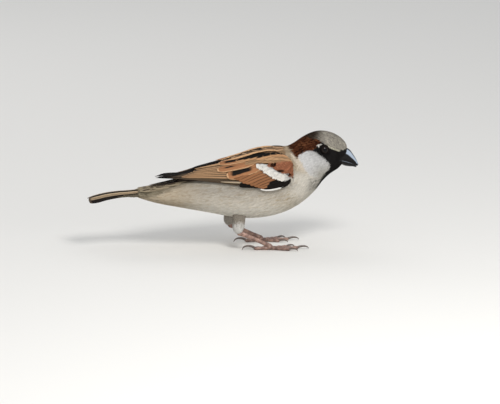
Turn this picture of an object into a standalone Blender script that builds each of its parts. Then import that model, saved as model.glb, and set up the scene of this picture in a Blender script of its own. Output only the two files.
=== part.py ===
"""A life-size male house sparrow, standing level with its bill turned a little down.

The bird faces +X and stands on Z = 0; its right side is at -Y. Every flesh part comes from one loft of
body sections, parted by thin gaps, and the wings, tail, legs and bill are fitted round it.
"""

import math

import bmesh
import bpy
import numpy as np

MM = 0.001
GAP = 0.30  # clear space between neighbouring pieces, mm
AROUND = 28  # points round a body section
PER_STATION = 2  # loft rings from one body section to the next

# Body sections from the tail coverts to the bill, in mm: top point x, z; bottom point x, z; half width;
# height of the widest level as a share of the section; fullness of the upper and of the lower half.
BODY_SECTIONS = [
    (-50.0, 32.9, -50.0, 30.6, 6.2, 0.50, 2.2, 2.2),  # tips of the tail coverts
    (-42.0, 34.4, -42.5, 27.8, 8.0, 0.50, 2.2, 2.2),
    (-34.0, 35.8, -34.5, 25.4, 9.6, 0.50, 2.2, 2.1),  # vent
    (-25.0, 38.0, -25.0, 23.4, 11.5, 0.50, 2.2, 2.1),
    (-15.0, 41.4, -14.5, 21.2, 13.4, 0.50, 2.2, 2.1),  # rump
    (-5.0, 44.7, -4.0, 19.0, 15.0, 0.49, 2.2, 2.1),
    (5.0, 48.2, 6.0, 16.9, 16.2, 0.48, 2.2, 2.1),
    (15.0, 51.7, 16.0, 16.0, 16.8, 0.47, 2.2, 2.1),  # belly
    (25.0, 54.3, 27.0, 17.0, 16.5, 0.48, 2.2, 2.1),
    (32.0, 55.4, 37.0, 20.0, 15.4, 0.50, 2.2, 2.1),  # shoulder
    (36.5, 55.5, 45.0, 24.6, 13.7, 0.52, 2.2, 2.1),
    (40.5, 57.6, 51.3, 30.2, 12.0, 0.50, 2.1, 2.1),  # neck
    (45.0, 60.6, 55.6, 35.6, 10.8, 0.46, 2.1, 2.1),
    (50.0, 62.9, 58.9, 38.9, 10.1, 0.43, 2.1, 2.2),  # ears
    (55.0, 63.7, 61.6, 40.8, 9.5, 0.42, 2.1, 2.2),  # eyes
    (60.4, 62.7, 63.9, 42.0, 8.3, 0.42, 2.1, 2.2),
    (65.0, 60.3, 65.4, 42.9, 6.8, 0.43, 2.1, 2.2),
    (68.1, 57.3, 66.4, 43.6, 5.3, 0.45, 2.1, 2.2),
    (69.6, 54.2, 67.0, 44.4, 3.9, 0.46, 2.1, 2.2),  # base of the bill
]
TRUNK_END, NECK_END = 9.9, 11.9  # where the trunk and the neck stop, counted in sections
SPLIT = 0.10  # the slit between trunk, neck and head, counted in sections

# Wing sections from the bend of the wing to its tip, in mm: x; upper edge y, z; shoulder of the curve y, z;
# lower edge y, z. The sizes are for the right wing, with y given as a distance from the midline.
WING_SECTIONS = [
    (39.4, 9.0, 48.0, 14.8, 49.0, 14.4, 43.6),
    (35.0, 7.8, 51.6, 17.0, 52.6, 17.5, 39.2),
    (28.0, 6.4, 54.4, 18.9, 51.8, 18.6, 35.2),
    (19.0, 5.0, 53.8, 19.6, 49.4, 18.9, 35.2),
    (9.0, 4.2, 50.9, 19.2, 47.0, 18.3, 37.0),
    (-2.0, 3.2, 48.2, 17.4, 45.2, 16.7, 38.5),
    (-12.0, 2.4, 45.7, 14.4, 43.6, 14.2, 39.6),
    (-21.0, 1.9, 43.2, 10.8, 42.0, 10.9, 40.5),
    (-29.0, 1.4, 42.0, 6.8, 41.5, 6.8, 40.9),
    (-36.8, 1.6, 41.2, 3.2, 41.1, 3.3, 40.9),
]
WING_DEPTH = (2.6, 1.1)  # thickness over the body, and of the free tips
WING_FREE_X = -8.0  # behind this the wing stands clear of the body

# Tail, along its middle line: x, z of the upper face, half width.
TAIL_SECTIONS = [
    (-50.5, 33.0, 6.4),
    (-57.0, 32.7, 7.1),
    (-64.0, 31.9, 7.7),
    (-70.0, 30.6, 8.1),
    (-74.3, 29.4, 8.3),
    (-75.7, 29.0, 7.2),
]
TAIL_CAMBER, TAIL_THICK_MID, TAIL_THICK_EDGE = 0.9, 1.4, 0.7

# Bill, from its base to its tip: ridge x, z; cutting edge x, z; keel x, z; half width.
BILL_SECTIONS = [
    (68.3, 54.2, 64.8, 48.5, 66.6, 44.3, 4.3),
    (70.9, 52.5, 67.2, 48.1, 68.3, 43.6, 4.0),
    (72.8, 49.9, 70.0, 47.0, 70.6, 43.2, 3.2),
    (74.4, 47.3, 72.6, 45.4, 72.8, 43.0, 2.1),
    (75.3, 45.3, 74.3, 44.0, 74.2, 42.6, 1.1),
]
BILL_TIP, BILL_LOWER_TIP = (75.5, 43.9), (74.8, 42.8)
BILL_TIP_ROUND = 0.32
BILL_SPLIT = 0.16

EYE_X, EYE_Z, EYE_RADIUS, EYE_DEPTH = 55.5, 54.6, 2.75, 1.55

# Legs. The left leg stands a little behind the right one.
LEG_SIDE = 11.0
LEG_STEP = {"right": 0.0, "left": -2.0}
HIP, HEEL = (8.7, 22.0), (8.0, 12.4)
THIGH_TOP, THIGH_HEEL = (3.7, 3.3), (3.1, 2.6)  # half widths along X and Y
ANKLE, TOE_JOINT = (7.9, 9.9), (25.0, 2.0)
SHANK_RADII = (1.45, 1.15, 1.10, 1.35)
PAD_RADIUS = 1.75

# Toes: heading in degrees away from straight ahead (+ is outward), length, radius at root and at tip,
# number of pads, claw length.
TOES = {
    "middle": (2.0, 15.6, 1.05, 0.85, 4, 6.0),
    "inner": (-20.0, 10.6, 0.98, 0.80, 3, 4.8),
    "outer": (24.0, 11.2, 0.98, 0.80, 4, 4.8),
    "hind": (184.0, 8.6, 1.12, 0.92, 2, 6.8),
}
CLAW_TIP_RADIUS = 0.26

COLOURS = {  # red, green, blue, roughness
    "grey_feathers": (0.33, 0.30, 0.25, 0.9),
    "brown_feathers": (0.24, 0.13, 0.07, 0.85),
    "tail_feathers": (0.12, 0.09, 0.07, 0.8),
    "bill_horn": (0.03, 0.03, 0.035, 0.35),
    "eye": (0.012, 0.008, 0.006, 0.05),
    "leg_skin": (0.24, 0.14, 0.11, 0.6),
    "claw_horn": (0.06, 0.05, 0.05, 0.4),
}


def clear_scene():
    for obj in list(bpy.data.objects):
        bpy.data.objects.remove(obj, do_unlink=True)


def collection(name):
    made = bpy.data.collections.new(name)
    bpy.context.scene.collection.children.link(made)
    return made


def material(name):
    """The material of this name, made on its first use."""
    if name in bpy.data.materials:
        return bpy.data.materials[name]
    red, green, blue, rough = COLOURS[name]
    made = bpy.data.materials.new(name)
    made.use_nodes = True
    shader = made.node_tree.nodes["Principled BSDF"]
    shader.inputs["Base Color"].default_value = (red, green, blue, 1.0)
    shader.inputs["Roughness"].default_value = rough
    return made


def spline(rows, at):
    """The rows of a table read at fractional row numbers, on a smooth curve through all of them."""
    rows = np.asarray(rows, float)
    at = np.clip(np.asarray(at, float), 0, len(rows) - 1)
    low = np.minimum(at.astype(int), len(rows) - 2)
    t = (at - low)[:, None]
    slope = np.gradient(rows, axis=0)
    a, b, da, db = rows[low], rows[low + 1], slope[low], slope[low + 1]
    return (
        a * (2 * t**3 - 3 * t**2 + 1)
        + da * (t**3 - 2 * t**2 + t)
        + b * (3 * t**2 - 2 * t**3)
        + db * (t**3 - t**2)
    )


def signed_power(value, power):
    return np.sign(value) * np.abs(value) ** power


def loft_object(name, rings, parent, kind):
    """A closed solid from rings of equal count (an array of ring, point, xyz in mm), with flat ends."""
    count, around = rings.shape[:2]
    mesh = bmesh.new()
    verts = [[mesh.verts.new(p * MM) for p in ring] for ring in rings]
    for low, high in zip(verts, verts[1:]):
        for i in range(around):
            j = (i + 1) % around
            mesh.faces.new((low[i], low[j], high[j], high[i]))
    mesh.faces.new(verts[0][::-1])
    mesh.faces.new(verts[count - 1])
    bmesh.ops.recalc_face_normals(mesh, faces=mesh.faces)
    data = bpy.data.meshes.new(name)
    mesh.to_mesh(data)
    mesh.free()
    data.shade_smooth()
    data.set_sharp_from_angle(angle=math.radians(45))
    obj = bpy.data.objects.new(name, data)
    if kind:
        data.materials.append(kind)
    parent.objects.link(obj)
    return obj


def cutter(obj):
    obj.hide_render = True
    obj.display_type = "WIRE"
    return obj


def cut(obj, *tools):
    for tool in tools:
        boolean = obj.modifiers.new("cut_" + tool.name, "BOOLEAN")
        boolean.operation = "DIFFERENCE"
        boolean.solver = "EXACT"
        boolean.object = tool
    return obj


# --- body -------------------------------------------------------------------------------------------


def body_rings(start, end, grow=0.0):
    """Rings of the body loft from one section number to another, each pushed out by grow."""
    count = max(2, int(round((end - start) * PER_STATION)) + 1)
    rows = spline(BODY_SECTIONS, np.linspace(start, end, count))
    top, bottom = rows[:, 0:2], rows[:, 2:4]
    up = top - bottom
    height = np.linalg.norm(up, axis=1)[:, None]
    up = up / height
    widest = bottom + up * height * rows[:, 5:6]
    above = height * (1 - rows[:, 5:6]) + grow
    below = height * rows[:, 5:6] + grow
    half_width = rows[:, 4:5] + grow
    angle = np.linspace(0, 2 * math.pi, AROUND, endpoint=False)[None, :]
    is_upper = np.cos(angle) >= 0
    power = 2 / np.where(is_upper, rows[:, 6:7], rows[:, 7:8])
    side = half_width * signed_power(np.sin(angle), power)
    level = np.where(is_upper, above, below) * signed_power(np.cos(angle), power)
    x = widest[:, 0:1] + up[:, 0:1] * level
    z = widest[:, 1:2] + up[:, 1:2] * level
    return np.stack([x, side, z], axis=2)


def build_body(parts, cutters, bill_tools):
    feathers = material("grey_feathers")
    last = len(BODY_SECTIONS) - 1
    loft_object("trunk", body_rings(0, TRUNK_END), parts, feathers)
    loft_object("neck", body_rings(TRUNK_END + SPLIT, NECK_END), parts, feathers)
    head = loft_object("head", body_rings(NECK_END + SPLIT, last), parts, feathers)
    for side in (-1, 1):
        bpy.ops.mesh.primitive_uv_sphere_add(
            segments=20,
            ring_count=12,
            radius=(EYE_RADIUS + GAP) * MM,
            location=eye_centre(side),
            rotation=(math.pi / 2, 0, 0),
        )
        socket = cutter(bpy.context.object)
        socket.name = "socket"
        move_to(socket, cutters)
        cut(head, socket)
    cut(head, *bill_tools)


def eye_centre(side):
    """The eye's middle in metres: EYE_DEPTH under the body surface at the eye's place."""
    rings = body_rings(NECK_END, len(BODY_SECTIONS) - 1)
    right = rings[:, : AROUND // 2 + 1].reshape(-1, 3)
    away = np.hypot(right[:, 0] - EYE_X, right[:, 2] - EYE_Z)
    near = np.argsort(away)[:4]
    weight = 1 / (away[near] + 0.1)
    surface = float((right[near, 1] * weight).sum() / weight.sum())
    return (EYE_X * MM, side * (surface - EYE_DEPTH) * MM, EYE_Z * MM)


def move_to(obj, target):
    for owner in list(obj.users_collection):
        owner.objects.unlink(obj)
    target.objects.link(obj)


def build_eyes(parts):
    kind = material("eye")
    for name, side in (("eye_right", -1), ("eye_left", 1)):
        bpy.ops.mesh.primitive_uv_sphere_add(
            segments=20,
            ring_count=12,
            radius=EYE_RADIUS * MM,
            location=eye_centre(side),
            rotation=(math.pi / 2, 0, 0),
        )
        eye = bpy.context.object
        eye.name = name
        eye.data.shade_smooth()
        eye.data.materials.append(kind)
        move_to(eye, parts)


# --- bill -------------------------------------------------------------------------------------------


def bill_rings(crest_column, tip, grow=0.0):
    """Rings of one half of the bill: an arch from the cutting edges to its crest, closed by a flat."""
    last = (*tip, tip[0] - 0.2, tip[1], *tip, BILL_TIP_ROUND)
    rows = spline([*BILL_SECTIONS, last], np.linspace(0, len(BILL_SECTIONS), 12))
    edge, crest = rows[:, 2:4], rows[:, crest_column : crest_column + 2]
    away = crest - edge
    away = away / np.linalg.norm(away, axis=1)[:, None]
    height = np.linalg.norm(crest - edge, axis=1)[:, None]
    bottom = BILL_SPLIT - grow
    height = np.maximum(height - bottom, 0.25) + grow
    angle = np.linspace(0, math.pi, 9)[None, :]
    side = (rows[:, 6:7] + grow) * signed_power(np.cos(angle), 0.9)
    level = bottom + height * np.sin(angle) ** 0.9
    x = edge[:, 0:1] + away[:, 0:1] * level
    z = edge[:, 1:2] + away[:, 1:2] * level
    x[0] -= grow
    return np.stack([x, side, z], axis=2)


def build_bill(parts, cutters):
    """The two halves of the bill, and the cutters that make room for them in the head."""
    horn = material("bill_horn")
    tools = []
    for name, column, tip in (("upper", 0, BILL_TIP), ("lower", 4, BILL_LOWER_TIP)):
        loft_object("bill_" + name, bill_rings(column, tip), parts, horn)
        tool = loft_object("around_bill_" + name, bill_rings(column, tip, GAP), cutters, None)
        tools.append(cutter(tool))
    return tools


# --- wings and tail ---------------------------------------------------------------------------------


def wing_grid(along=22, across=9):
    """Outer points of the right wing: each section is a smooth bow from its upper to its lower edge."""
    rows = spline(WING_SECTIONS, np.linspace(0, len(WING_SECTIONS) - 1, along))
    t = np.linspace(0, 1, across)[None, :]
    y = (1 - t) ** 2 * rows[:, 1:2] + 2 * t * (1 - t) * rows[:, 3:4] + t**2 * rows[:, 5:6]
    z = (1 - t) ** 2 * rows[:, 2:3] + 2 * t * (1 - t) * rows[:, 4:5] + t**2 * rows[:, 6:7]
    x = np.repeat(rows[:, 0:1], across, axis=1)
    return np.stack([x, y, z], axis=2)


def build_wing(name, side, parts, kind, body_tool):
    outer = wing_grid()
    along, across = np.gradient(outer, axis=0), np.gradient(outer, axis=1)
    inward = np.cross(along, across)
    inward /= np.linalg.norm(inward, axis=2)[:, :, None]
    if inward[5, 4, 1] > 0:
        inward = -inward
    free = np.clip((WING_FREE_X - outer[:, :, 0:1]) / 14, 0, 1)
    depth = WING_DEPTH[0] * (1 - free) + WING_DEPTH[1] * free
    inner = outer + inward * depth
    rings = np.concatenate([outer, inner[:, ::-1]], axis=1)
    rings[:, :, 1] *= side
    wing = loft_object(name, rings, parts, kind)
    return cut(wing, body_tool)


def build_tail(parts):
    rows = spline(TAIL_SECTIONS, np.linspace(0, len(TAIL_SECTIONS) - 1, 11))
    share = np.linspace(-1, 1, 9)[None, :]
    side = rows[:, 2:3] * share
    crown = rows[:, 1:2] - TAIL_CAMBER * share**2
    thick = TAIL_THICK_EDGE + (TAIL_THICK_MID - TAIL_THICK_EDGE) * (1 - share**2)
    x = np.repeat(rows[:, 0:1], share.shape[1], axis=1)
    upper = np.stack([x, side, crown], axis=2)
    lower = np.stack([x, side, crown - thick], axis=2)
    rings = np.concatenate([upper, lower[:, ::-1]], axis=1)
    loft_object("tail", rings, parts, material("tail_feathers"))


# --- legs -------------------------------------------------------------------------------------------


def tube_rings(path, radii, around=8, flat_floor=False, grow=0.0):
    """Rings across a path (points in mm), of the given half widths (level, upright); floor makes flats."""
    path, radii = np.asarray(path, float), np.asarray(radii, float) + grow
    forward = np.gradient(path, axis=0)
    forward /= np.linalg.norm(forward, axis=1)[:, None]
    level = np.cross(forward, (0, 0, 1.0))
    steep = np.linalg.norm(level, axis=1)[:, None]
    level = np.where(steep > 1e-6, level / np.maximum(steep, 1e-6), (0, 1.0, 0))
    upright = np.cross(level, forward)
    angle = (np.arange(around) + 0.5) * 2 * math.pi / around
    rings = (
        path[:, None]
        + level[:, None] * (radii[:, 0:1] * np.cos(angle))[:, :, None]
        + upright[:, None] * (radii[:, 1:2] * np.sin(angle))[:, :, None]
    )
    if flat_floor:
        rings[:, :, 2] = np.maximum(rings[:, :, 2], -grow)
    return rings


def egg_rings(start, end, first, last, grow=0.0, around=16, count=9):
    """Rings of a rounded drumstick from start to end, with its half widths going from first to last."""
    t = np.linspace(0, 1, count)[:, None]
    path = np.asarray(start) * (1 - t) + np.asarray(end) * t
    reach = np.linalg.norm(np.subtract(end, start))
    left = reach * (1 - t) + grow
    end_round = np.sqrt(np.clip(1 - np.clip(1 - left / last[0], 0, 1) ** 2, 0.02, 1))
    radii = (np.asarray(first) * (1 - t) + np.asarray(last) * t) * end_round
    return tube_rings(path, radii[:, ::-1], around, grow=grow)


def thigh_rings(name, side, grow=0.0):
    step = LEG_STEP[name]
    y = side * LEG_SIDE
    hip = np.array((HIP[0] + step, y - side * 1.2, HIP[1]))
    heel = np.array((HEEL[0] + step, y, HEEL[1]))
    down = (heel - hip) / np.linalg.norm(heel - hip)
    return egg_rings(hip, heel + down * THIGH_HEEL[0], THIGH_TOP, THIGH_HEEL, grow)


def shank_rings(name, side, grow=0.0):
    step, y = LEG_STEP[name], side * LEG_SIDE
    t = np.linspace(0, 1, 7)[:, None]
    ankle = np.array((ANKLE[0] + step, y, ANKLE[1]))
    joint = np.array((TOE_JOINT[0] + step, y, TOE_JOINT[1]))
    path = ankle * (1 - t) + joint * t
    radius = np.interp(t[:, 0], np.linspace(0, 1, 4), SHANK_RADII)
    radii = np.stack([radius * 0.82, radius], axis=1)
    return tube_rings(path, radii, grow=grow)


def toe_rings(name, side, toe, grow=0.0):
    """Rings of one toe on the floor: a tapering tube that swells at each of its pads."""
    heading, length, root, tip, pads, _ = TOES[toe]
    t = np.linspace(0, 1, 2 * pads + 1)[:, None]
    start = PAD_RADIUS + GAP
    base = np.array((TOE_JOINT[0] + LEG_STEP[name], side * LEG_SIDE, 0.0))
    ahead = toe_direction(side, heading)
    radius = (root * (1 - t) + tip * t)[:, 0]
    swell = 1 + 0.10 * np.cos(2 * math.pi * (t[:, 0] * pads - 0.5))
    path = base + ahead * (start + (length - start) * t)
    path[:, 2] = radius * 0.88
    return tube_rings(path, np.stack([radius * swell] * 2, axis=1), 8, True, grow)


def toe_direction(side, heading):
    angle = math.radians(heading)
    return np.array((math.cos(angle), side * math.sin(angle), 0.0))


def claw_rings(name, side, toe):
    """Rings of a claw: it leaves the toe level, arches and comes down to the floor at its point."""
    heading, length, _, tip, _, claw = TOES[toe]
    base = np.array((TOE_JOINT[0] + LEG_STEP[name], side * LEG_SIDE, 0.0))
    ahead = toe_direction(side, heading)
    t = np.linspace(0, 1, 7)
    path = base + ahead * (length + GAP + claw * 0.93 * np.sin(t * math.pi / 2))[:, None]
    rise = 0.16 * claw * np.sin(math.pi * t**0.8)
    path[:, 2] = tip * 0.95 * (1 - t) + rise + CLAW_TIP_RADIUS * 0.8 * t
    radius = 0.72 * tip * (1 - t) ** 0.8 + CLAW_TIP_RADIUS
    return tube_rings(path, np.stack([radius * 0.8, radius], axis=1), 8, True)


def pad_object(name, side, parts, kind, grow=0.0):
    """The ball under the toe joint, with its flat on the floor."""
    t = np.linspace(0, 1, 7)
    angle = math.pi * (0.06 + 0.88 * t)
    radius = PAD_RADIUS + grow
    centre = np.array((TOE_JOINT[0] + LEG_STEP[name], side * LEG_SIDE, PAD_RADIUS * 0.8))
    path = centre + np.outer(-radius * np.cos(angle), (0, 0, 1.0))
    ring = np.linspace(0, 2 * math.pi, 12, endpoint=False)
    round_off = np.stack([np.cos(ring), np.sin(ring), 0 * ring], axis=1)
    rings = path[:, None] + round_off[None] * (radius * np.sin(angle))[:, None, None]
    rings[:, :, 2] = np.maximum(rings[:, :, 2], -grow)
    return loft_object(name, rings, parts, kind)


def join(obj, other):
    """Adds a second closed shape to obj by a Boolean union."""
    boolean = obj.modifiers.new("join_" + other.name, "BOOLEAN")
    boolean.operation = "UNION"
    boolean.solver = "EXACT"
    boolean.object = cutter(other)
    return obj


def build_leg(name, side, parts, cutters, body_tool):
    skin, horn = material("leg_skin"), material("claw_horn")
    thigh = loft_object("thigh_" + name, thigh_rings(name, side), parts, material("grey_feathers"))
    cut(thigh, body_tool)
    thigh_tool = cutter(loft_object("around_thigh", thigh_rings(name, side, GAP), cutters, None))
    ball = cutter(pad_at(name, side, cutters, 0.0))
    shank = loft_object("shank_" + name, shank_rings(name, side), parts, skin)
    cut(shank, thigh_tool)
    join(shank, ball)
    around_ball = cutter(pad_at(name, side, cutters, GAP))
    around_shank = cutter(loft_object("around_shank", shank_rings(name, side, GAP), cutters, None))
    fitted = [around_ball, around_shank]
    for toe in TOES:
        made = loft_object(f"toe_{toe}_{name}", toe_rings(name, side, toe), parts, skin)
        cut(made, *fitted)
        if toe == "middle":
            tool = loft_object("around_toe", toe_rings(name, side, toe, GAP), cutters, None)
            fitted = [*fitted, cutter(tool)]
        loft_object(f"claw_{toe}_{name}", claw_rings(name, side, toe), parts, horn)


def pad_at(name, side, owner, grow):
    made = pad_object(name, side, owner, None, grow)
    made.name = "pad_" + name
    return made


def main():
    clear_scene()
    parts, cutters = collection("house_sparrow"), collection("cutters")
    build_body(parts, cutters, build_bill(parts, cutters))
    build_eyes(parts)
    around_body = body_rings(0, len(BODY_SECTIONS) - 1, GAP)
    body_tool = cutter(loft_object("around_body", around_body, cutters, None))
    brown = material("brown_feathers")
    build_wing("wing_right", -1, parts, brown, body_tool)
    build_wing("wing_left", 1, parts, brown, body_tool)
    build_tail(parts)
    build_leg("right", -1, parts, cutters, body_tool)
    build_leg("left", 1, parts, cutters, body_tool)


main()
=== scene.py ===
"""Looks of a life-size male house sparrow: skin, feathers, wings, tail, eyes, bill and feet.

Lengths are in millimetres until a mesh is made. The bird faces +X, its right side is at -Y, and it stands
on Z = 0. Each surface is an array of points over two coordinates, and the feathers are laid on it.
"""

import math

import bpy
import numpy as np
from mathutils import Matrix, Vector


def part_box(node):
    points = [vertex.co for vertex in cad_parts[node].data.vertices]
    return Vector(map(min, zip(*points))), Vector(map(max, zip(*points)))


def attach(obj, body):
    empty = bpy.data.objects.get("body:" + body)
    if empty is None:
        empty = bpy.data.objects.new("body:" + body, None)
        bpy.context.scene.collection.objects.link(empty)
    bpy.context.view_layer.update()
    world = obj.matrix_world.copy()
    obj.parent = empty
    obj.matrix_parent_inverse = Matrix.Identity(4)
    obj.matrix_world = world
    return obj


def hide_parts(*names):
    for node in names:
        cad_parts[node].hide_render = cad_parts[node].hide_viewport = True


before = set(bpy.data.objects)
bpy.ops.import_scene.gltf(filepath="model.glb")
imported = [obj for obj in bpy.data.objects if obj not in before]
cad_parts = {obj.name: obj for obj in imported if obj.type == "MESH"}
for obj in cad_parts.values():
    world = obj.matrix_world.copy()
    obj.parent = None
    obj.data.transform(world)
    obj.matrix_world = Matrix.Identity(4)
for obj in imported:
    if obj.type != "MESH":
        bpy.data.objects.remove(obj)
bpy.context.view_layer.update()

MM = 0.001
TURN = 2 * math.pi

# --- the frame's own sizes, repeated from the construction -------------------------------------------

BODY_SECTIONS = [
    (-50.0, 32.9, -50.0, 30.6, 6.2, 0.50, 2.2, 2.2),
    (-42.0, 34.4, -42.5, 27.8, 8.0, 0.50, 2.2, 2.2),
    (-34.0, 35.8, -34.5, 25.4, 9.6, 0.50, 2.2, 2.1),
    (-25.0, 38.0, -25.0, 23.4, 11.5, 0.50, 2.2, 2.1),
    (-15.0, 41.4, -14.5, 21.2, 13.4, 0.50, 2.2, 2.1),
    (-5.0, 44.7, -4.0, 19.0, 15.0, 0.49, 2.2, 2.1),
    (5.0, 48.2, 6.0, 16.9, 16.2, 0.48, 2.2, 2.1),
    (15.0, 51.7, 16.0, 16.0, 16.8, 0.47, 2.2, 2.1),
    (25.0, 54.3, 27.0, 17.0, 16.5, 0.48, 2.2, 2.1),
    (32.0, 55.4, 37.0, 20.0, 15.4, 0.50, 2.2, 2.1),
    (36.5, 55.5, 45.0, 24.6, 13.7, 0.52, 2.2, 2.1),
    (40.5, 57.6, 51.3, 30.2, 12.0, 0.50, 2.1, 2.1),
    (45.0, 60.6, 55.6, 35.6, 10.8, 0.46, 2.1, 2.1),
    (50.0, 62.9, 58.9, 38.9, 10.1, 0.43, 2.1, 2.2),
    (55.0, 63.7, 61.6, 40.8, 9.5, 0.42, 2.1, 2.2),
    (60.4, 62.7, 63.9, 42.0, 8.3, 0.42, 2.1, 2.2),
    (65.0, 60.3, 65.4, 42.9, 6.8, 0.43, 2.1, 2.2),
    (68.1, 57.3, 66.4, 43.6, 5.3, 0.45, 2.1, 2.2),
    (69.6, 54.2, 67.0, 44.4, 3.9, 0.46, 2.1, 2.2),
]
LAST = len(BODY_SECTIONS) - 1
# half width taken off by station, where the face narrows to the bill
FACE_TAPER = ((13, 0), (14, 0.3), (15, 1.0), (16, 1.5), (17, 1.1), (18, 0.4))
WING_SECTIONS = [
    (39.4, 9.0, 48.0, 14.8, 49.0, 14.4, 43.6),
    (35.0, 7.8, 51.6, 17.0, 52.6, 17.5, 39.2),
    (28.0, 6.4, 54.4, 18.9, 51.8, 18.6, 35.2),
    (19.0, 5.0, 53.8, 19.6, 49.4, 18.9, 35.2),
    (9.0, 4.2, 50.9, 19.2, 47.0, 18.3, 37.0),
    (-2.0, 3.2, 48.2, 17.4, 45.2, 16.7, 38.5),
    (-12.0, 2.4, 45.7, 14.4, 43.6, 14.2, 39.6),
    (-21.0, 1.9, 43.2, 10.8, 42.0, 10.9, 40.5),
    (-29.0, 1.4, 42.0, 6.8, 41.5, 6.8, 40.9),
    (-36.8, 1.6, 41.2, 3.2, 41.1, 3.3, 40.9),
]
TAIL_SECTIONS = [
    (-20.0, 37.0, 5.0),
    (-35.0, 34.4, 5.6),
    (-50.5, 33.0, 6.4),
    (-57.0, 32.7, 7.1),
    (-64.0, 31.9, 7.7),
    (-70.0, 30.6, 8.1),
    (-75.7, 29.0, 8.3),
]
BILL_SECTIONS = [
    (68.3, 54.2, 64.8, 48.5, 66.6, 44.3, 4.3),
    (70.9, 52.5, 67.2, 48.1, 68.3, 43.6, 4.0),
    (72.8, 49.9, 70.0, 47.0, 70.6, 43.2, 3.2),
    (74.4, 47.3, 72.6, 45.4, 72.8, 43.0, 2.0),
    (75.3, 45.3, 74.3, 44.0, 74.2, 42.6, 0.9),
]
LEG_SIDE = 11.0
LEG_STEP = {"right": 0.0, "left": -2.0}
SIDES = {"right": -1, "left": 1}
HIP, HEEL = (8.7, 22.0), (8.0, 12.4)
ANKLE, TOE_JOINT = (7.9, 9.9), (25.0, 2.0)
TOES = {  # heading in degrees outward, length, radius at root and at tip, pads, claw length
    "middle": (2.0, 15.6, 1.05, 0.85, 4, 6.0),
    "inner": (-20.0, 10.6, 0.98, 0.80, 3, 4.8),
    "outer": (24.0, 11.2, 0.98, 0.80, 4, 4.8),
    "hind": (184.0, 8.6, 1.12, 0.92, 2, 6.8),
}

# --- small tools --------------------------------------------------------------------------------------


def colour(red, green, blue):
    """A colour as seen on a display, 0 to 255, turned into the linear light that shaders use."""
    shown = np.array((red, green, blue)) / 255
    return np.where(shown < 0.04045, shown / 12.92, ((shown + 0.055) / 1.055) ** 2.4)


def unit(vectors):
    """Vectors divided by their lengths."""
    return vectors / np.maximum(np.linalg.norm(vectors, axis=-1, keepdims=True), 1e-9)


def ease(low, high, value):
    """0 below low, 1 above high, and a smooth S between them."""
    t = np.clip((np.asarray(value) - low) / (high - low), 0, 1)
    return t * t * (3 - 2 * t)


def bell(value, middle, width):
    """1 at the middle, falling off smoothly on both sides."""
    return np.exp(-(((value - middle) / width) ** 2))


def rounded(near, least=0.0):
    """What is left of a width as near goes from 0 to 1, on a quarter circle."""
    return np.sqrt(np.clip(1 - np.clip(near, 0, 1) ** 2, least, 1))


def signed_power(value, power):
    """A power of the size, with the sign kept."""
    return np.sign(value) * np.abs(value) ** power


def grid(a, b):
    """Both coordinates over every pair, a along the rows."""
    return np.meshgrid(a, b, indexing="ij")


def shares(count):
    """Even shares of one full turn."""
    return np.linspace(0, 1, count, endpoint=False)


def spline(rows, at):
    """The rows of a table read at fractional row numbers, on a smooth curve through all of them."""
    rows = np.asarray(rows, float)
    at = np.clip(np.asarray(at, float), 0, len(rows) - 1)
    low = np.minimum(at.astype(int), len(rows) - 2)
    t = (at - low)[:, None]
    slope = np.gradient(rows, axis=0)
    a, b, da, db = rows[low], rows[low + 1], slope[low], slope[low + 1]
    start = a * (2 * t**3 - 3 * t**2 + 1) + da * (t**3 - 2 * t**2 + t)
    return start + b * (3 * t**2 - 2 * t**3) + db * (t**3 - t**2)


def along(points, count):
    """Count points evenly spread over the row numbers of a few control points."""
    return spline(points, np.linspace(0, len(points) - 1, count))


def spaced(points, count):
    """Count rows: those given, one of them repeated, or places along their curve."""
    points = np.atleast_2d(np.asarray(points, float))
    if len(points) == 1:
        return np.repeat(points, count, axis=0)
    return points if len(points) == count else along(points, count)


def follow(line, value):
    """The second number of a list of pairs, read at a value of the first."""
    pairs = np.array(line)
    return np.interp(value, pairs[:, 0], pairs[:, 1])


def columns_at(table, values, steps):
    """All columns of a table, each read off its smooth curve where the first has the given values."""
    fine = along(table, steps)
    fine = fine[np.argsort(fine[:, 0])]
    return np.stack([np.interp(values, fine[:, 0], column) for column in fine.T], axis=1)


def oval(centre, ahead, up, wide, tall, angle):
    """Points on an ellipse round a centre: wide times the cosine ahead and tall times the sine up."""
    return centre + ahead * (wide * np.cos(angle))[..., None] + up * (tall * np.sin(angle))[..., None]


def run_of(path):
    """Length along a path up to each of its points."""
    return np.append(0, np.cumsum(np.linalg.norm(np.diff(path, axis=0), axis=1)))


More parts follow.
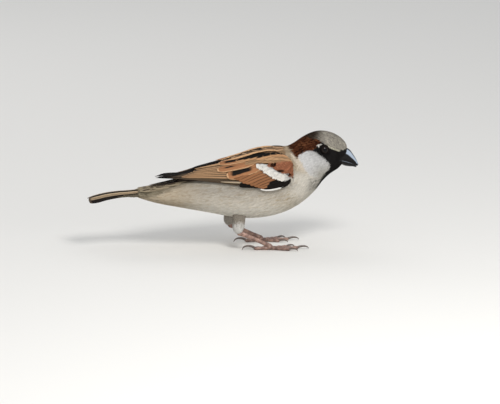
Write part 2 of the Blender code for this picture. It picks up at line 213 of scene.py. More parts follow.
class Chart:
    """A smooth surface as a grid of points over two coordinates, read anywhere by bilinear interpolation."""

    def __init__(self, a, b, points, away_from, wraps=False):
        if wraps:
            b = np.append(b, 1.0)
            points = np.concatenate([points, points[:, :1]], axis=1)
        self.a, self.b, self.points, self.wraps = a, b, points, wraps
        self.da = np.gradient(points, a, axis=0)
        self.db = np.gradient(points, b, axis=1)
        if wraps:
            self.db[:, 0] = self.db[:, -1] = (self.db[:, 0] + self.db[:, -1]) / 2
        normals = unit(np.cross(self.da, self.db))
        self.normals = normals if np.sum(normals * (points - away_from)) > 0 else -normals

    def read(self, table, a, b):
        """A table of the chart's grid at (a, b), each value a blend of the four around it."""
        if self.wraps:
            b = np.mod(b, 1.0)
        i = np.clip((a - self.a[0]) / (self.a[1] - self.a[0]), 0, len(self.a) - 1.001)
        j = np.clip((b - self.b[0]) / (self.b[1] - self.b[0]), 0, len(self.b) - 1.001)
        i0, j0 = i.astype(int), j.astype(int)
        s, t = (i - i0)[..., None], (j - j0)[..., None]
        low = table[i0, j0] * (1 - t) + table[i0, j0 + 1] * t
        high = table[i0 + 1, j0] * (1 - t) + table[i0 + 1, j0 + 1] * t
        return low * (1 - s) + high * s

    def at(self, a, b, height=0.0):
        """Points at (a, b), standing height above the surface."""
        raised = np.asarray(height)[..., None] * self.read(self.normals, a, b)
        return self.read(self.points, a, b) + raised


def add_piece(name, shape, finish, nodes=(), values=None, uv=None, normals=None):
    """A mesh piece from points in mm and arrays of triangles or quads, with its maps and attributes."""
    points, faces = shape
    faces = [np.asarray(f, np.int32) for f in faces if len(f)]
    corners = np.concatenate([f.ravel() for f in faces])
    sizes = np.concatenate([np.full(len(f), f.shape[1]) for f in faces])
    mesh = bpy.data.meshes.new(name)
    mesh.vertices.add(len(points))
    mesh.vertices.foreach_set("co", np.asarray(points * MM, np.float32).ravel())
    mesh.loops.add(len(corners))
    mesh.loops.foreach_set("vertex_index", corners)
    mesh.polygons.add(len(sizes))
    mesh.polygons.foreach_set("loop_start", np.append(0, np.cumsum(sizes)[:-1]).astype(np.int32))
    mesh.polygons.foreach_set("use_smooth", np.ones(len(sizes), bool))
    mesh.update(calc_edges=True)
    for label, places in (uv or {}).items():
        layer = mesh.uv_layers.new(name=label)
        layer.data.foreach_set("uv", np.asarray(places[corners], np.float32).ravel())
    for label, data in (values or {}).items():
        kind, field = ("FLOAT", "value") if np.ndim(data) == 1 else ("FLOAT_COLOR", "color")
        attribute = mesh.attributes.new(label, kind, "POINT")
        attribute.data.foreach_set(field, np.asarray(data, np.float32).ravel())
    if normals is not None:
        mesh.normals_split_custom_set_from_vertices(np.asarray(normals, np.float32))
    mesh.materials.append(finish)
    piece = bpy.data.objects.new(name, mesh)
    bpy.context.scene.collection.objects.link(piece)
    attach(piece, "root")
    if nodes:
        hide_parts(*nodes)


def with_alpha(colours, alpha=1.0):
    """Colours with a fourth number, one for all or one each."""
    alpha = np.broadcast_to(np.asarray(alpha, float), colours.shape[:-1])
    return np.concatenate([colours, alpha[..., None]], axis=-1)


def ring_quads(count, around):
    """Quads between each ring of points and the next, for count closed rings."""
    i, j = grid(np.arange(count - 1) * around, np.arange(around))
    k = (j + 1) % around
    return np.stack([i + j, i + k, i + around + k, i + around + j], -1).reshape(-1, 4)


def outward(points, inside, quads, *others):
    """Arrays of faces, all turned over if the quads look at the points inside."""
    a, b, c = (points[quads[:, n]] for n in range(3))
    turned = np.sum(np.cross(b - a, c - a) * (a - inside)) < 0
    return [faces[:, ::-1] if turned else faces for faces in (quads, *others)]


def loft(rings):
    """Points and faces of a closed solid from rings (ring, point, xyz), each end closed to its middle."""
    count, around = rings.shape[:2]
    points = np.concatenate([rings.reshape(-1, 3), rings[[0, -1]].mean(axis=1)])
    j = np.arange(around)
    k, last, middle = (j + 1) % around, (count - 1) * around, np.full(around, count * around)
    ends = np.concatenate([np.stack([k, j, middle], -1), np.stack([last + j, last + k, middle + 1], -1)])
    return points, outward(points, points.mean(axis=0), ring_quads(count, around), ends)


def joined(shapes):
    """Several (points, faces) solids as one."""
    points, faces, offset = [], [], 0
    for shape_points, shape_faces in shapes:
        points.append(shape_points)
        faces += [f + offset for f in shape_faces]
        offset += len(shape_points)
    return np.concatenate(points), faces


# --- surfaces -----------------------------------------------------------------------------------------


def body_points(stations, angles):
    """Points of the body loft: each section is two half superellipses about its widest level.

    The face narrows towards the bill and falls in a little at the gape.
    """
    rows = spline(BODY_SECTIONS, stations)
    top, bottom = rows[:, 0:2], rows[:, 2:4]
    height = np.linalg.norm(top - bottom, axis=1)[:, None]
    up = (top - bottom) / height
    widest = bottom + up * height * rows[:, 5:6]
    upper = np.cos(angles)[None] >= 0
    power = 2 / np.where(upper, rows[:, 6:7], rows[:, 7:8])
    reach = height * np.where(upper, 1 - rows[:, 5:6], rows[:, 5:6])
    half = rows[:, 4:5] - follow(FACE_TAPER, stations)[:, None]
    side = half * signed_power(np.sin(angles)[None], power)
    level = reach * signed_power(np.cos(angles)[None], power)
    x, z = (widest[:, n : n + 1] + up[:, n : n + 1] * level for n in (0, 1))
    gape = bell(x, 64.8, 2.6) * bell(z, 48.0, 2.4)
    z = z + 0.9 * bell(x, 67.0, 2.2) * ease(47, 44, z)
    return np.stack([x, side * (1 - 0.22 * gape), z], axis=2)


def body_chart():
    """The body's outer surface over station number and share of a turn from the top, left side first."""
    stations, turns = np.linspace(0, LAST, 361), shares(360)
    points = body_points(stations, turns * TURN)
    return Chart(stations, turns, points, points.mean(axis=1, keepdims=True), wraps=True)


def wing_curve(rows, t):
    """Points (y, z) at t on the quadratic curve of each wing section, and the steps between them."""
    first, second, third = (rows[:, n : n + 2].T[..., None] for n in (1, 3, 5))
    y, z = (1 - t) ** 2 * first + 2 * t * (1 - t) * second + t**2 * third
    return y, z, np.hypot(np.diff(y, axis=1), np.diff(z, axis=1))


def wing_chart(side):
    """The folded wing's outer surface over x and the girth in mm down from its upper edge.

    Each section is a quadratic curve of three points, carried on past its lower end. Its front is tucked in.
    Inside the upper edge the surface goes straight on over the back, falling a little.
    """
    xs, girths = np.linspace(-44, 42, 173), np.linspace(-6, 30, 109)
    over = columns_at(WING_SECTIONS, xs, 400)
    t = np.linspace(-0.4, 1.5, 200)
    y, z, steps = wing_curve(over, t)
    girth = np.insert(np.cumsum(steps, axis=1), 0, 0, axis=1)
    girth -= girth[:, [np.argmin(np.abs(t))]]
    out, up = (np.array([np.interp(girths, girth[i], line[i]) for i in range(len(xs))]) for line in (y, z))
    out -= 1.7 * ease(32, 41, xs)[:, None]
    inside, inward = girths < 0, np.minimum(girths, 0)
    out = side * np.where(inside, over[:, 1:2] + 0.97 * inward, out)
    up = np.where(inside, over[:, 2:3] + 0.22 * inward, up)
    return Chart(xs, girths, np.stack([grid(xs, girths)[0], out, up], axis=2), (0, 0, 30.0))


def back_chart():
    """The upper surface of the back over x and y: the upper half superellipse of each body section."""
    xs, ys = np.linspace(-48, 42, 181), np.linspace(-11, 11, 89)
    over = columns_at(BODY_SECTIONS, xs, 700)
    height = over[:, 1:2] - over[:, 3:4]
    share = np.clip(np.abs(ys)[None] / over[:, 4:5], 0, 0.98)
    level = (1 - share ** over[:, 6:7]) ** (1 / over[:, 6:7])
    z = over[:, 3:4] + height * (over[:, 5:6] + (1 - over[:, 5:6]) * level)
    return Chart(xs, ys, np.stack([*grid(xs, ys), z], axis=2), (0, 0, 30.0))


def tail_chart(under=False):
    """The tail's upper surface over x and y, or its underside: a curve along x, less a parabola across."""
    xs, ys = np.linspace(-82, -15, 135), np.linspace(-12, 12, 49)
    end_x, _, _ = TAIL_SECTIONS[-1]
    z = columns_at(TAIL_SECTIONS, xs, 300)[:, 1] + np.minimum(xs - end_x, 0) * 0.24
    x, y = grid(xs, ys)
    level = z[:, None] - 0.9 * (y / 8) ** 2 - 1.5 * under
    return Chart(xs, ys, np.stack([x, y, level], axis=2), (0, 0, 900.0 if under else -900.0))


def thigh_chart(name):
    """The feathered thigh over distance down from the hip and share of a turn.

    It is a line of ellipses that narrow evenly and end in a quarter circle. Its top is thin, so that it sinks
    under the belly's feathers.
    """
    side, step = SIDES[name], LEG_STEP[name]
    down, turns = np.linspace(-3, 13.2, 55), shares(48)
    hip = np.array((HIP[0] + step, side * (LEG_SIDE - 3.0), HIP[1]))
    heel = np.array((HEEL[0] + step - 0.5, side * LEG_SIDE, HEEL[1] - 0.2))
    axis = unit(heel - hip)
    share = np.clip(down / 12.7, 0, 1)
    end = rounded((down - 8.7) / 4.6)
    fore, across = (3.9 - 0.6 * share) * end, (3.2 - 0.6 * share) * end * (0.3 + 0.7 * ease(0.5, 6.2, down))
    level = unit(np.cross(axis, (1.0, 0, 0)))
    middle = (hip + axis * down[:, None])[:, None]
    points = oval(middle, np.cross(level, axis), level, fore[:, None], across[:, None], turns * TURN)
    return Chart(down, turns, points, hip + axis * 6, wraps=True)


BODY, BACK, TAIL, UNDER_TAIL = body_chart(), back_chart(), tail_chart(), tail_chart(under=True)
WING = {name: wing_chart(side) for name, side in SIDES.items()}
THIGH = {name: thigh_chart(name) for name in SIDES}

EYE_CENTRE = {n: np.array((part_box("eye_" + n)[0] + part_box("eye_" + n)[1]) / 2) / MM for n in SIDES}
EYE_AXIS = {name: unit(np.array((0.10, side, 0.06))) for name, side in SIDES.items()}  # turned a little forward
EYE_RADIUS = 2.75


def off_eye(name, points):
    """Offsets from an eye's axis, heights along it and distances from it, which are far on the other side."""
    offset = points - EYE_CENTRE[name]
    height = offset @ EYE_AXIS[name]
    offset = offset - height[..., None] * EYE_AXIS[name]
    beside = np.sign(points[..., 1]) == SIDES[name]
    return offset, height, np.where(beside, np.linalg.norm(offset, axis=-1), 99.0)


# --- markings -----------------------------------------------------------------------------------------

CROWN, CROWN_DARK = colour(164, 157, 144), colour(59, 48, 38)
CHESTNUT, CHESTNUT_LIGHT = colour(78, 43, 26), colour(118, 75, 48)
BLACK, CHEEK, CHEEK_LOW = colour(33, 31, 30), colour(206, 204, 201), colour(182, 177, 166)
BUFF, BREAST, MOTTLE = colour(214, 200, 180), colour(215, 208, 195), colour(140, 136, 128)
BELLY, FLANK, VENT = colour(236, 230, 217), colour(204, 195, 180), colour(190, 175, 152)
MANTLE, RUMP, TIBIA = colour(150, 122, 93), colour(138, 127, 106), colour(214, 210, 203)
EYEBROW, SPOT, NAPE = colour(212, 205, 182), colour(236, 231, 220), colour(168, 150, 126)

CROWN_EDGE = ((40, 58.5), (43, 59.4), (47, 60.3), (51.5, 60.2), (54.4, 58.9), (56.4, 57.2), (58.6, 55.9),
              (60.9, 54.7), (64.0, 53.3), (66.5, 53.2), (70, 54.2))
CHESTNUT_EDGE = ((37, 50.0), (39.7, 50.3), (41.4, 52.3), (45.3, 54.0), (48.9, 54.4), (51.1, 56.3), (54.5, 58.8))
BLACK_EDGE = ((26, 55.5), (29, 52.6), (31.5, 51.3), (34.2, 51.6), (39.2, 54.6), (41.7, 56.2), (42.8, 57.9),
              (45.0, 58.5), (46.9, 57.8), (48.7, 56.2), (50.9, 54.3), (52.4, 52.0), (54.4, 48.6), (55.4, 48.9),
              (57.0, 51.2), (58.6, 53.5), (60, 56.5))
CHEEK_EDGE = ((37.0, 56), (38.9, 52.4), (40.0, 49.4), (40.9, 47.2), (43.2, 45.1), (47.5, 42.4), (50.8, 40.8),
              (52.6, 40.4), (56, 41.5))


def blotches(points, size, seed):
    """Soft random values from -1 to 1 over space: a few crossed waves bent by one another."""
    turn = np.random.default_rng(seed)
    total = bend = np.zeros(points.shape[:-1])
    for _ in range(5):
        way = unit(turn.normal(size=3)) * 2 * math.pi / size * turn.uniform(0.7, 1.5)
        wave = np.sin(points @ way + turn.uniform(0, 6.3) + 1.6 * bend)
        bend, total = wave, total + wave
    return total / 3.2


def plumage(points, thigh=False):
    """Feather colour at places on the outer surface: each marking is a side of an edge in the side view."""
    if thigh:
        # inside darkens the inner side of each thigh, towards the other leg: painted shade between the legs
        inside = ease(11.0, 9.4, np.abs(points[..., 1]))
        tone = ease(16.8, 13.6, points[..., 2] + 1.5 * blotches(points, 2.0, 3))
        tone = (tone * (1 - 0.75 * inside))[..., None]
        speck = ease(0.55, 0.9, blotches(points, 0.8, 9))[..., None]
        return TIBIA * (1 - (0.58, 0.62, 0.67) * (1 - tone)) * (1 - 0.5 * speck)
    x, y, z = points[..., 0], np.abs(points[..., 1]), points[..., 2]
    rough = 0.35 * blotches(points, 2.2, 1) + 0.25 * blotches(points, 0.9, 2)
    frayed = 0.75 * blotches(points * (0.6, 1, 1), 0.8, 17)
    streak = blotches(points * (0.25, 1, 1), 1.5, 4)

    def lay(under, over, mask):
        """One colour over another by a mask from 0 to 1."""
        return under + (over - under) * np.clip(mask, 0, 1)[..., None]

    # underparts and back
    skin = np.broadcast_to(BELLY, points.shape)
    skin = lay(skin, FLANK, ease(21, 30, z + rough) * ease(44, 34, x))
    # the upper flank below the wing is darker: partly greyer feathers, partly painted shade under the wing
    skin = lay(skin, FLANK * 0.72, ease(27.5, 35, z + rough) * ease(37, 27, x))
    skin = lay(skin, VENT, ease(-8, -30, x))
    skin = lay(skin, BREAST, ease(30, 42, x))
    skin = lay(skin, skin * (0.86, 0.82, 0.76), ease(0.0, 0.9, streak) * ease(46, 36, x))
    warm = bell(x, 35, 7) * bell(z, 26.5, 4.5)
    skin = lay(skin, skin * (0.80, 0.74, 0.64), warm * (0.55 + 0.45 * streak))
    under = 37.5 + np.clip((x + 25) * 0.36, -6, 30) - 0.12 * y
    skin = lay(skin, RUMP, ease(-1.5, 1.0, z - under + 1.2 * rough) * ease(37, 33, x))
    skin = lay(skin, RUMP * 0.5, ease(0.1, 0.7, streak) * ease(-1.0, 1.5, z - under) * ease(38, 34, x))
    on_back = ease(2.0, -1.0, y - 9) * ease(-2, 1, z - 49) * ease(39, 36.5, x) * ease(0, 8, x)
    skin = lay(skin, MANTLE, on_back)
    # neck sides
    rear = x - follow(CHEEK_EDGE, z)
    nape = NAPE * (1 + 0.25 * streak)[..., None]
    skin = lay(skin, nape, ease(40, 47, z + 0.5 * rough) * ease(33, 35, x))
    skin = lay(skin, BUFF, ease(-4.6, -2.4, rear + rough) * ease(41, 46, z + 0.5 * rough) * ease(34, 36, x))
    grey = ease(30.5, 33, z + rough) * ease(41, 38, z) * ease(44, 48, x) * (0.55 + 0.45 * streak)
    skin = lay(skin, MOTTLE, grey)
    # cheek
    cheek = CHEEK + (CHEEK_LOW - CHEEK) * (ease(49, 40, z) * ease(44, 54, x) * 0.9)[..., None]
    skin = lay(skin, cheek, ease(-0.5, 0.5, rear + 0.8 * rough) * ease(37.8, 39.2, z + rough))
    # bib and mask
    loose = 0.55 + 1.0 * ease(42, 35, z)
    ahead = (x - follow(BLACK_EDGE, z) + 0.9 * rough + frayed) / loose
    mask = ease(-1, 1, ahead + blotches(points, 1.1, 15) * ease(42, 35, z))
    fade = ease(26.5, 36.0, z) * ease(8.5, 6.0, y * ease(44, 36, z))
    speckle = ease(0.38, 0.62, fade + 0.45 * ease(0, 0.2, fade) * ease(1, 0.8, fade) * blotches(points, 1.0, 5))
    skin = lay(skin, BLACK, mask * speckle)
    # chestnut and crown
    upper = ease(-0.4, 0.4, z - follow(CHESTNUT_EDGE, x) + 0.9 * rough)
    behind = ease(-0.6, 0.6, x - np.interp(z, (48, 50.5, 53, 55), (41, 39.4, 37.6, 36.3)) + 0.8 * rough)
    mix = CHESTNUT + (CHESTNUT_LIGHT - CHESTNUT) * ease(0.0, 0.9, blotches(points, 1.9, 6))[..., None]
    mix = mix * (1 - 0.75 * ease(0.10, 0.55, blotches(points, 1.7, 7)))[..., None]
    skin = lay(skin, mix, upper * behind * ease(57.5, 54.5, x) * ease(43, 46, z))
    crown = CROWN_DARK + (CROWN - CROWN_DARK) * ease(48.8, 56, x - 0.5 * (z - 60) + 1.5 * rough)[..., None]
    crown = crown * (1 + 0.30 * blotches(points, 1.7, 8) + 0.22 * blotches(points, 0.9, 16))[..., None]
    top = z - follow(CROWN_EDGE, x) + 0.9 * rough - 1.6 * ease(50, 43, x)
    skin = lay(skin, crown, ease(-0.5, 0.5, top) * ease(41, 46, x + rough))
    # pale line above the lores, and the spot behind the eye
    line = ease(0.65, 0.25, np.abs(z - follow(CROWN_EDGE, x) + 0.1)) * ease(56.3, 57.3, x) * ease(65.5, 63.5, x)
    skin = lay(skin, EYEBROW, line * (0.85 + 0.3 * rough))
    spot = ((x - 52.6) / 1.45) ** 2 + ((z - 57.3 - 0.25 * (x - 52.6)) / 0.36) ** 2
    hook = ((x - 52.2) / 0.34) ** 2 + ((z - 56.6) / 0.6) ** 2
    skin = lay(skin, SPOT, ease(1.25, 0.7, np.minimum(spot, hook)))
    clump = blotches(points * (0.45, 1, 1), 1.3, 31) + 0.6 * blotches(points * (0.4, 1, 1), 0.7, 32)
    return skin * (1 + 0.13 * clump * ease(-30, 10, x))[..., None]


# --- coat ---------------------------------------------------------------------------------------------

LANCE_AT = np.array((0.0, 0.35, 0.86, 1.0))
LANCE_WIDE = np.array((0.0, 0.9, 0.85, 0.0))
# one lance: root, two rings of left, right and ridge, tip
LANCE_CORNERS = 8
LANCE_FACES = np.array([
    (0, 1, 3), (0, 3, 2), (0, 2, 1), (1, 4, 6), (1, 6, 3), (3, 6, 5), (3, 5, 2), (2, 5, 4), (2, 4, 1),
    (4, 7, 6), (6, 7, 5), (5, 7, 4),
])
TUFT = 0.0013  # a fan's half size on the bake map
MARGIN = 0.02  # kept free round a bake map
GOLDEN = 0.618  # so that thinned rings don't line up
RING_STEP = 0.24  # from one ring of roots to the next, as a share of the feather's length

# by body station: feather length and coat depth in mm
FEATHER_LENGTH = ((0, 7.5), (1.5, 7), (3, 6.2), (6, 5.6), (9, 5.0), (10.4, 4.2), (11.4, 3.3), (12.4, 2.4),
                  (13.5, 2.0), (14.5, 1.7), (16, 1.25), (18, 0.9))
COAT_DEPTH = ((0, 0.35), (2, 0.6), (6, 0.75), (9.5, 0.75), (11, 0.75), (12.5, 0.65), (14, 0.55), (15.5, 0.45),
              (17, 0.35), (18, 0.25))
# for feathers between two lengths: how many lances in a fan, and the width of one
FEATHER_KINDS = ((4.0, 99.0, 13, 0.33), (2.6, 4.0, 11, 0.24), (1.5, 2.6, 7, 0.20), (0.0, 1.5, 5, 0.16))
# the coat's pieces, each from a body station to the next
COAT_BANDS = (("coat_rump", 1.1, 5.6), ("coat_belly", 5.6, 8.3), ("coat_breast", 8.3, 10.6),
              ("coat_neck", 10.6, 12.3), ("coat_cheeks", 12.3, 14.2), ("coat_face", 14.2, 15.9),
              ("coat_brow", 15.9, 17.9))


def fans(chart, a, b, lie, size, width, depth, rise, count, thick, random):
    """Soft feathers as fans of lances: each lance leaves the root, spreads, and lies along the surface.

    Sideways a lance follows a power of the sine, plus a parabola for its bend, and its height is a power of
    the way along. The move in mm is turned into chart coordinates by the chart's two slopes. The width is a
    share of the size. Each corner carries its place and the way the surface faces there.
    """
    size, depth, rise = (np.broadcast_to(m, len(a))[:, None] for m in (size, depth, rise))
    a, b, lie = (m[:, None, None] for m in (a, b, lie))
    up, pa, pb = (chart.read(table, a, b) for table in (chart.normals, chart.da, chart.db))
    lie = unit(lie - np.sum(lie * up, axis=-1, keepdims=True) * up)
    across = np.cross(up, lie)
    spread = np.linspace(-1, 1, count)[None] + random.uniform(-0.5, 0.5, (len(a), count)) / count
    reach = size * (1 - 0.22 * spread**2) * random.uniform(0.91, 1.06, spread.shape)
    sideways = (size * width / 2 * spread)[..., None] * np.sin(LANCE_AT * math.pi / 2) ** 0.8
    bend = random.uniform(-0.06, 0.06, spread.shape)
    sideways = sideways + (bend * reach)[..., None] * LANCE_AT**2
    move = (reach[..., None] * LANCE_AT)[..., None] * lie + sideways[..., None] * across
    e, f, g, along_a, along_b = (
        np.sum(m * n, -1) for m, n in ((pa, pa), (pa, pb), (pb, pb), (move, pa), (move, pb))
    )
    area = np.maximum(e * g - f * f, 1e-9)
    new_a = a + (g * along_a - f * along_b) / area
    new_b = b + (e * along_b - f * along_a) / area
    tip = rise * random.uniform(0.92, 1.07, spread.shape)
    height = depth[..., None] * (-0.40 + 1.20 * LANCE_AT**0.6) * tip[..., None] - depth[..., None]
    centre = chart.at(new_a, new_b, height)
    up = chart.read(chart.normals, new_a, new_b)
    over = unit(np.cross(up, lie))
    half = (thick * LANCE_WIDE / 2)[:, None]

    def corners(middle, *sides):
        """A lance's corners: the middle line's root, the sides at its two rings, the middle line's tip."""
        rings = [side[:, :, n] for n in (1, 2) for side in sides]
        return np.stack([middle[:, :, 0], *rings, middle[:, :, 3]], axis=2)

    places = corners(centre, centre - over * half, centre + over * half, centre + up * half * 0.35)
    facing = corners(up, unit(up - 0.4 * over), unit(up + 0.4 * over), up)
    shade = np.broadcast_to(np.repeat(LANCE_AT, (1, 3, 3, 1)), places.shape[:3])
    return np.concatenate([places, facing], axis=3), shade, centre[:, :, 2], spread


def add_coat(name, batches, finish, calm=True):
    """One coat piece from several batches of fans, with the bake map laid out by the fans' roots.

    A calm coat is shaded by the lie of the surface under it, so that the lances read as one soft cover.
    """
    parts = []
    for made, shade, tint, root, spread in batches:
        tint = np.broadcast_to(tint, (*shade.shape, 3))
        u, v = (root[:, None, None, n] for n in (0, 1))
        u, v = np.broadcast_arrays(u + TUFT * spread[..., None], v + TUFT * (shade * 2 - 1))
        columns = np.concatenate([made, tint, np.stack([shade, u, v], axis=-1)], axis=-1)
        parts.append(columns.reshape(-1, 12))
    points, facing, tints, shade, places = np.split(np.concatenate(parts), (3, 6, 9, 10), axis=1)
    first = np.arange(0, len(points), LANCE_CORNERS)[:, None, None]
    faces = (LANCE_FACES + first).reshape(-1, 3)
    values = {"plumage": with_alpha(tints), "along": shade[:, 0]}
    add_piece(name, (points, [faces]), finish, values=values, uv={"OFBake": places},
              normals=facing if calm else None)


def on_map(u, v):
    """Places from 0 to 1 brought inside the margin of a bake map."""
    return np.stack([u, v], axis=1) * (1 - 2 * MARGIN) + MARGIN


def scatter(chart, start, stop, length_of, share_across, random):
    """Roots in staggered rings over a wrapped chart, thinned where the rings crowd; start towards stop."""
    steps = np.linalg.norm(chart.da[:, :-1], axis=2)
    roots_a, roots_b = [], []
    a, row = start, 0
    while a < stop:
        i = int(np.clip(np.searchsorted(chart.a, a), 0, len(chart.a) - 1))
        length = length_of(a)
        girth = run_of(chart.points[i])
        count = max(6, int(girth[-1] / (length * share_across)))
        at = (np.arange(count) + 0.5 * (row % 2) + random.uniform(-0.3, 0.3, count)) / count
        b = np.interp(np.mod(at, 1) * girth[-1], girth, chart.b)
        most = steps[i].max()
        local = np.interp(b, chart.b[:-1], steps[i])
        keep = np.diff(np.floor(np.cumsum(np.append(0, local / most)) + GOLDEN * row)) > 0
        move = length * RING_STEP / most
        roots_a.append(a + random.uniform(-0.4, 0.4, count)[keep] * move)
        roots_b.append(b[keep])
        a += move
        row += 1
    return np.clip(np.concatenate(roots_a), chart.a[0], chart.a[-1]), np.concatenate(roots_b)


def under_wing(points):
    """True where a folded wing hides the body."""
    table = np.array(WING_SECTIONS)[::-1]
    x, y, z = points[..., 0], np.abs(points[..., 1]), points[..., 2]
    inner, high, low = (np.interp(x, table[:, 0], table[:, n]) for n in (1, 2, 6))
    front = np.interp(z, (34, 38), (31.0, 35.5))
    return (z > low + 2.0) & (z < high + 2) & (y > inner + 1.5) & (x < front) & (x > -8)


def away_from_eyes(points, lie):
    """The lie turned to pass round the eyes, and the distance from the nearer eye's axis."""
    nearest = np.full(len(points), 99.0)
    for name in SIDES:
        offset, _, distance = off_eye(name, points)
        out = unit(offset)
        inward = np.minimum(np.sum(lie * out, axis=1), 0)
        lie = lie - (1.15 * inward * ease(6.5, 3.2, distance))[:, None] * out
        nearest = np.minimum(nearest, distance)
    return unit(lie), nearest


def body_coat(finish):
    """The small feathers of trunk, neck and head, rooted in one run of rings and cut into pieces."""
    random = np.random.default_rng(11)
    start, stop = COAT_BANDS[0][1], COAT_BANDS[-1][2]
    a, b = scatter(BODY, start, stop, lambda station: float(follow(FEATHER_LENGTH, station)), 0.34, random)
    places = BODY.at(a, b)
    lie = unit(-BODY.read(BODY.da, a, b))
    droop = ease(4, 8, a) * ease(10.5, 8, a) * ease(0, 12, np.abs(places[:, 1]))
    lie = unit(lie - 0.25 * droop[:, None] * (0, 0, 1))
    lie, eye = away_from_eyes(places, lie)
    keep = ~under_wing(places) & (eye > 2.25)
    a, b, lie, eye, (x, y, z) = a[keep], b[keep], lie[keep], eye[keep], places[keep].T
    length = follow(FEATHER_LENGTH, a)
    size = length * random.uniform(0.92, 1.10, len(a)) * (0.5 + 0.5 * ease(2.4, 5, eye))
    shoulder = ease(34.5, 37, x) * ease(45, 41, x) * ease(36, 39, z) * ease(53, 50, z)
    rise = 1 + 1.6 * shoulder * (np.abs(y) > 8) + 1.3 * ease(4.8, 2.8, eye)
    high, head = ease(49, 55, z) * ease(12.0, 13.0, a), ease(11.5, 12.5, a)
    fringe = 0.06 + 0.12 * head + 0.22 * high
    fleck = 0.03 + 0.03 * head + 0.10 * high
    for name, first, last in COAT_BANDS:
        batches = []
        for low, most, count, thick in FEATHER_KINDS:
            part = (a >= first) & (a < last) & (length > low) & (length <= most)
            if not part.any():
                continue
            made, shade, seen, spread = fans(BODY, a[part], b[part], lie[part], size[part], 0.62,
                                             follow(COAT_DEPTH, a[part]), rise[part], count, thick, random)
            tone = 1 + fleck[part] * random.uniform(-1.2, 1, len(seen))
            shaft = 1 - 1.6 * fleck[part, None] * bell(spread, 0, 0.4)
            tint = plumage(seen) * (tone[:, None] * shaft)[..., None]
            tint = tint[:, :, None] * (1 - fringe[part, None, None] * (1 - shade))[..., None]
            place = on_map((a[part] - first) / (last - first), b[part])
            batches.append((made, shade, tint, place, spread))
        add_coat(name, batches, finish)


def thigh_coat(finish):
    """The short feathers of both thighs, in rings from the hip down, lying down and a little back."""
    random = np.random.default_rng(12)
    batches = []
    for n, chart in enumerate(THIGH.values()):
        a, b = scatter(chart, 1.0, 13.0, lambda down: 2.6, 0.30, random)
        size = random.uniform(1.9, 2.8, len(a))
        lie = unit(chart.read(chart.da, a, b)) + (-0.25, 0, 0)
        made, shade, seen, spread = fans(chart, a, b, lie, size, 0.6, 0.55, 1, 7, 0.22, random)
        tint = (plumage(seen, thigh=True) * random.uniform(0.9, 1.08, (len(a), 1, 1)))[:, :, None]
        place = np.stack([a / 14 * 0.46 + 0.02 + 0.5 * n, b * 0.94 + 0.03], axis=1)
        batches.append((made, shade, tint, place, spread))
    add_coat("coat_thighs", batches, finish)


def skin_piece(finish):
    """One skin under the coat: the body loft and both thighs, sunk by the coat's depth, and the eyelids."""
    a, b = grid(np.linspace(0.5, LAST - 0.05, 260), shares(160))
    sunk = BODY.at(a, b, -follow(COAT_DEPTH, a) * 1.05)
    for name in SIDES:
        _, height, distance = off_eye(name, sunk)
        sunk = sunk - (ease(2.6, 2.1, distance) * (height + 1.0))[..., None] * EYE_AXIS[name]
    shapes = [loft(sunk)]
    tints = [plumage(BODY.at(a, b)).reshape(-1, 3), np.tile(BLACK, (2, 1))]
    for chart in THIGH.values():
        rings = chart.at(*grid(np.linspace(-2.5, 12.9, 40), shares(40)), -0.5)
        shapes.append(loft(rings))
        tints += [plumage(rings, thigh=True).reshape(-1, 3), np.tile(TIBIA, (2, 1))]
    for name in SIDES:
        shapes.append(eyelid(name))
        tints.append(np.tile(colour(27, 23, 21), (len(shapes[-1][0]), 1)))
    shape = joined(shapes)
    nodes = ("trunk", "neck", "head", "thigh_right", "thigh_left")
    add_piece("skin", shape, finish, nodes, under_feathers(np.concatenate(tints) * 0.92))


def under_feathers(tints):
    """What a surface under the feathers carries: its colours, and one place along a feather."""
    return {"plumage": with_alpha(tints), "along": np.full(len(tints), 0.4)}


def eyelid(name):
    """A ring of lid round the eye: a rounded rim that touches the eyeball and slopes back to the skin.

    One profile of radius and height goes round the eye's axis. Cosines make it oval, and a sine beads it.
    """
    eye, axis = EYE_CENTRE[name], EYE_AXIS[name]
    ahead = unit(np.cross(np.cross(axis, (1.0, 0, -0.45)), axis))
    up = np.cross(axis, ahead) * -SIDES[name]
    radius = np.array((1.82, 1.85, 1.91, 1.99, 2.09, 2.24, 2.50, 2.80, 2.70, 2.40, 2.00))
    height = np.array((2.05, 2.14, 2.21, 2.22, 2.14, 1.90, 1.42, 0.90, 0.55, 1.05, 1.60))
    angle = shares(72)[:, None] * TURN
    wide = radius * (1 + (0.055 * np.cos(2 * angle) + 0.02 * np.cos(angle)) * ease(3.2, 2.0, radius))
    beads = 0.03 * np.sin(angle * 24) * bell(radius, 2.05, 0.12)
    rings = oval(eye + axis * (height + beads)[..., None], ahead, up, wide, wide, angle)
    points = rings.reshape(-1, 3)
    quads = ring_quads(len(rings) + 1, len(radius)) % len(points)
    offset = points[quads[:, 0]] - eye
    tube_centre = eye + unit(offset - (offset @ axis)[:, None] * axis) * 2.6 + axis * 1.5
    return points, outward(points, tube_centre, quads)


# --- vanes --------------------------------------------------------------------------------------------


FINE_RIBS = np.array((-1, -0.66, -0.36, -0.10, 0, 0.10, 0.36, 0.66, 1.0))


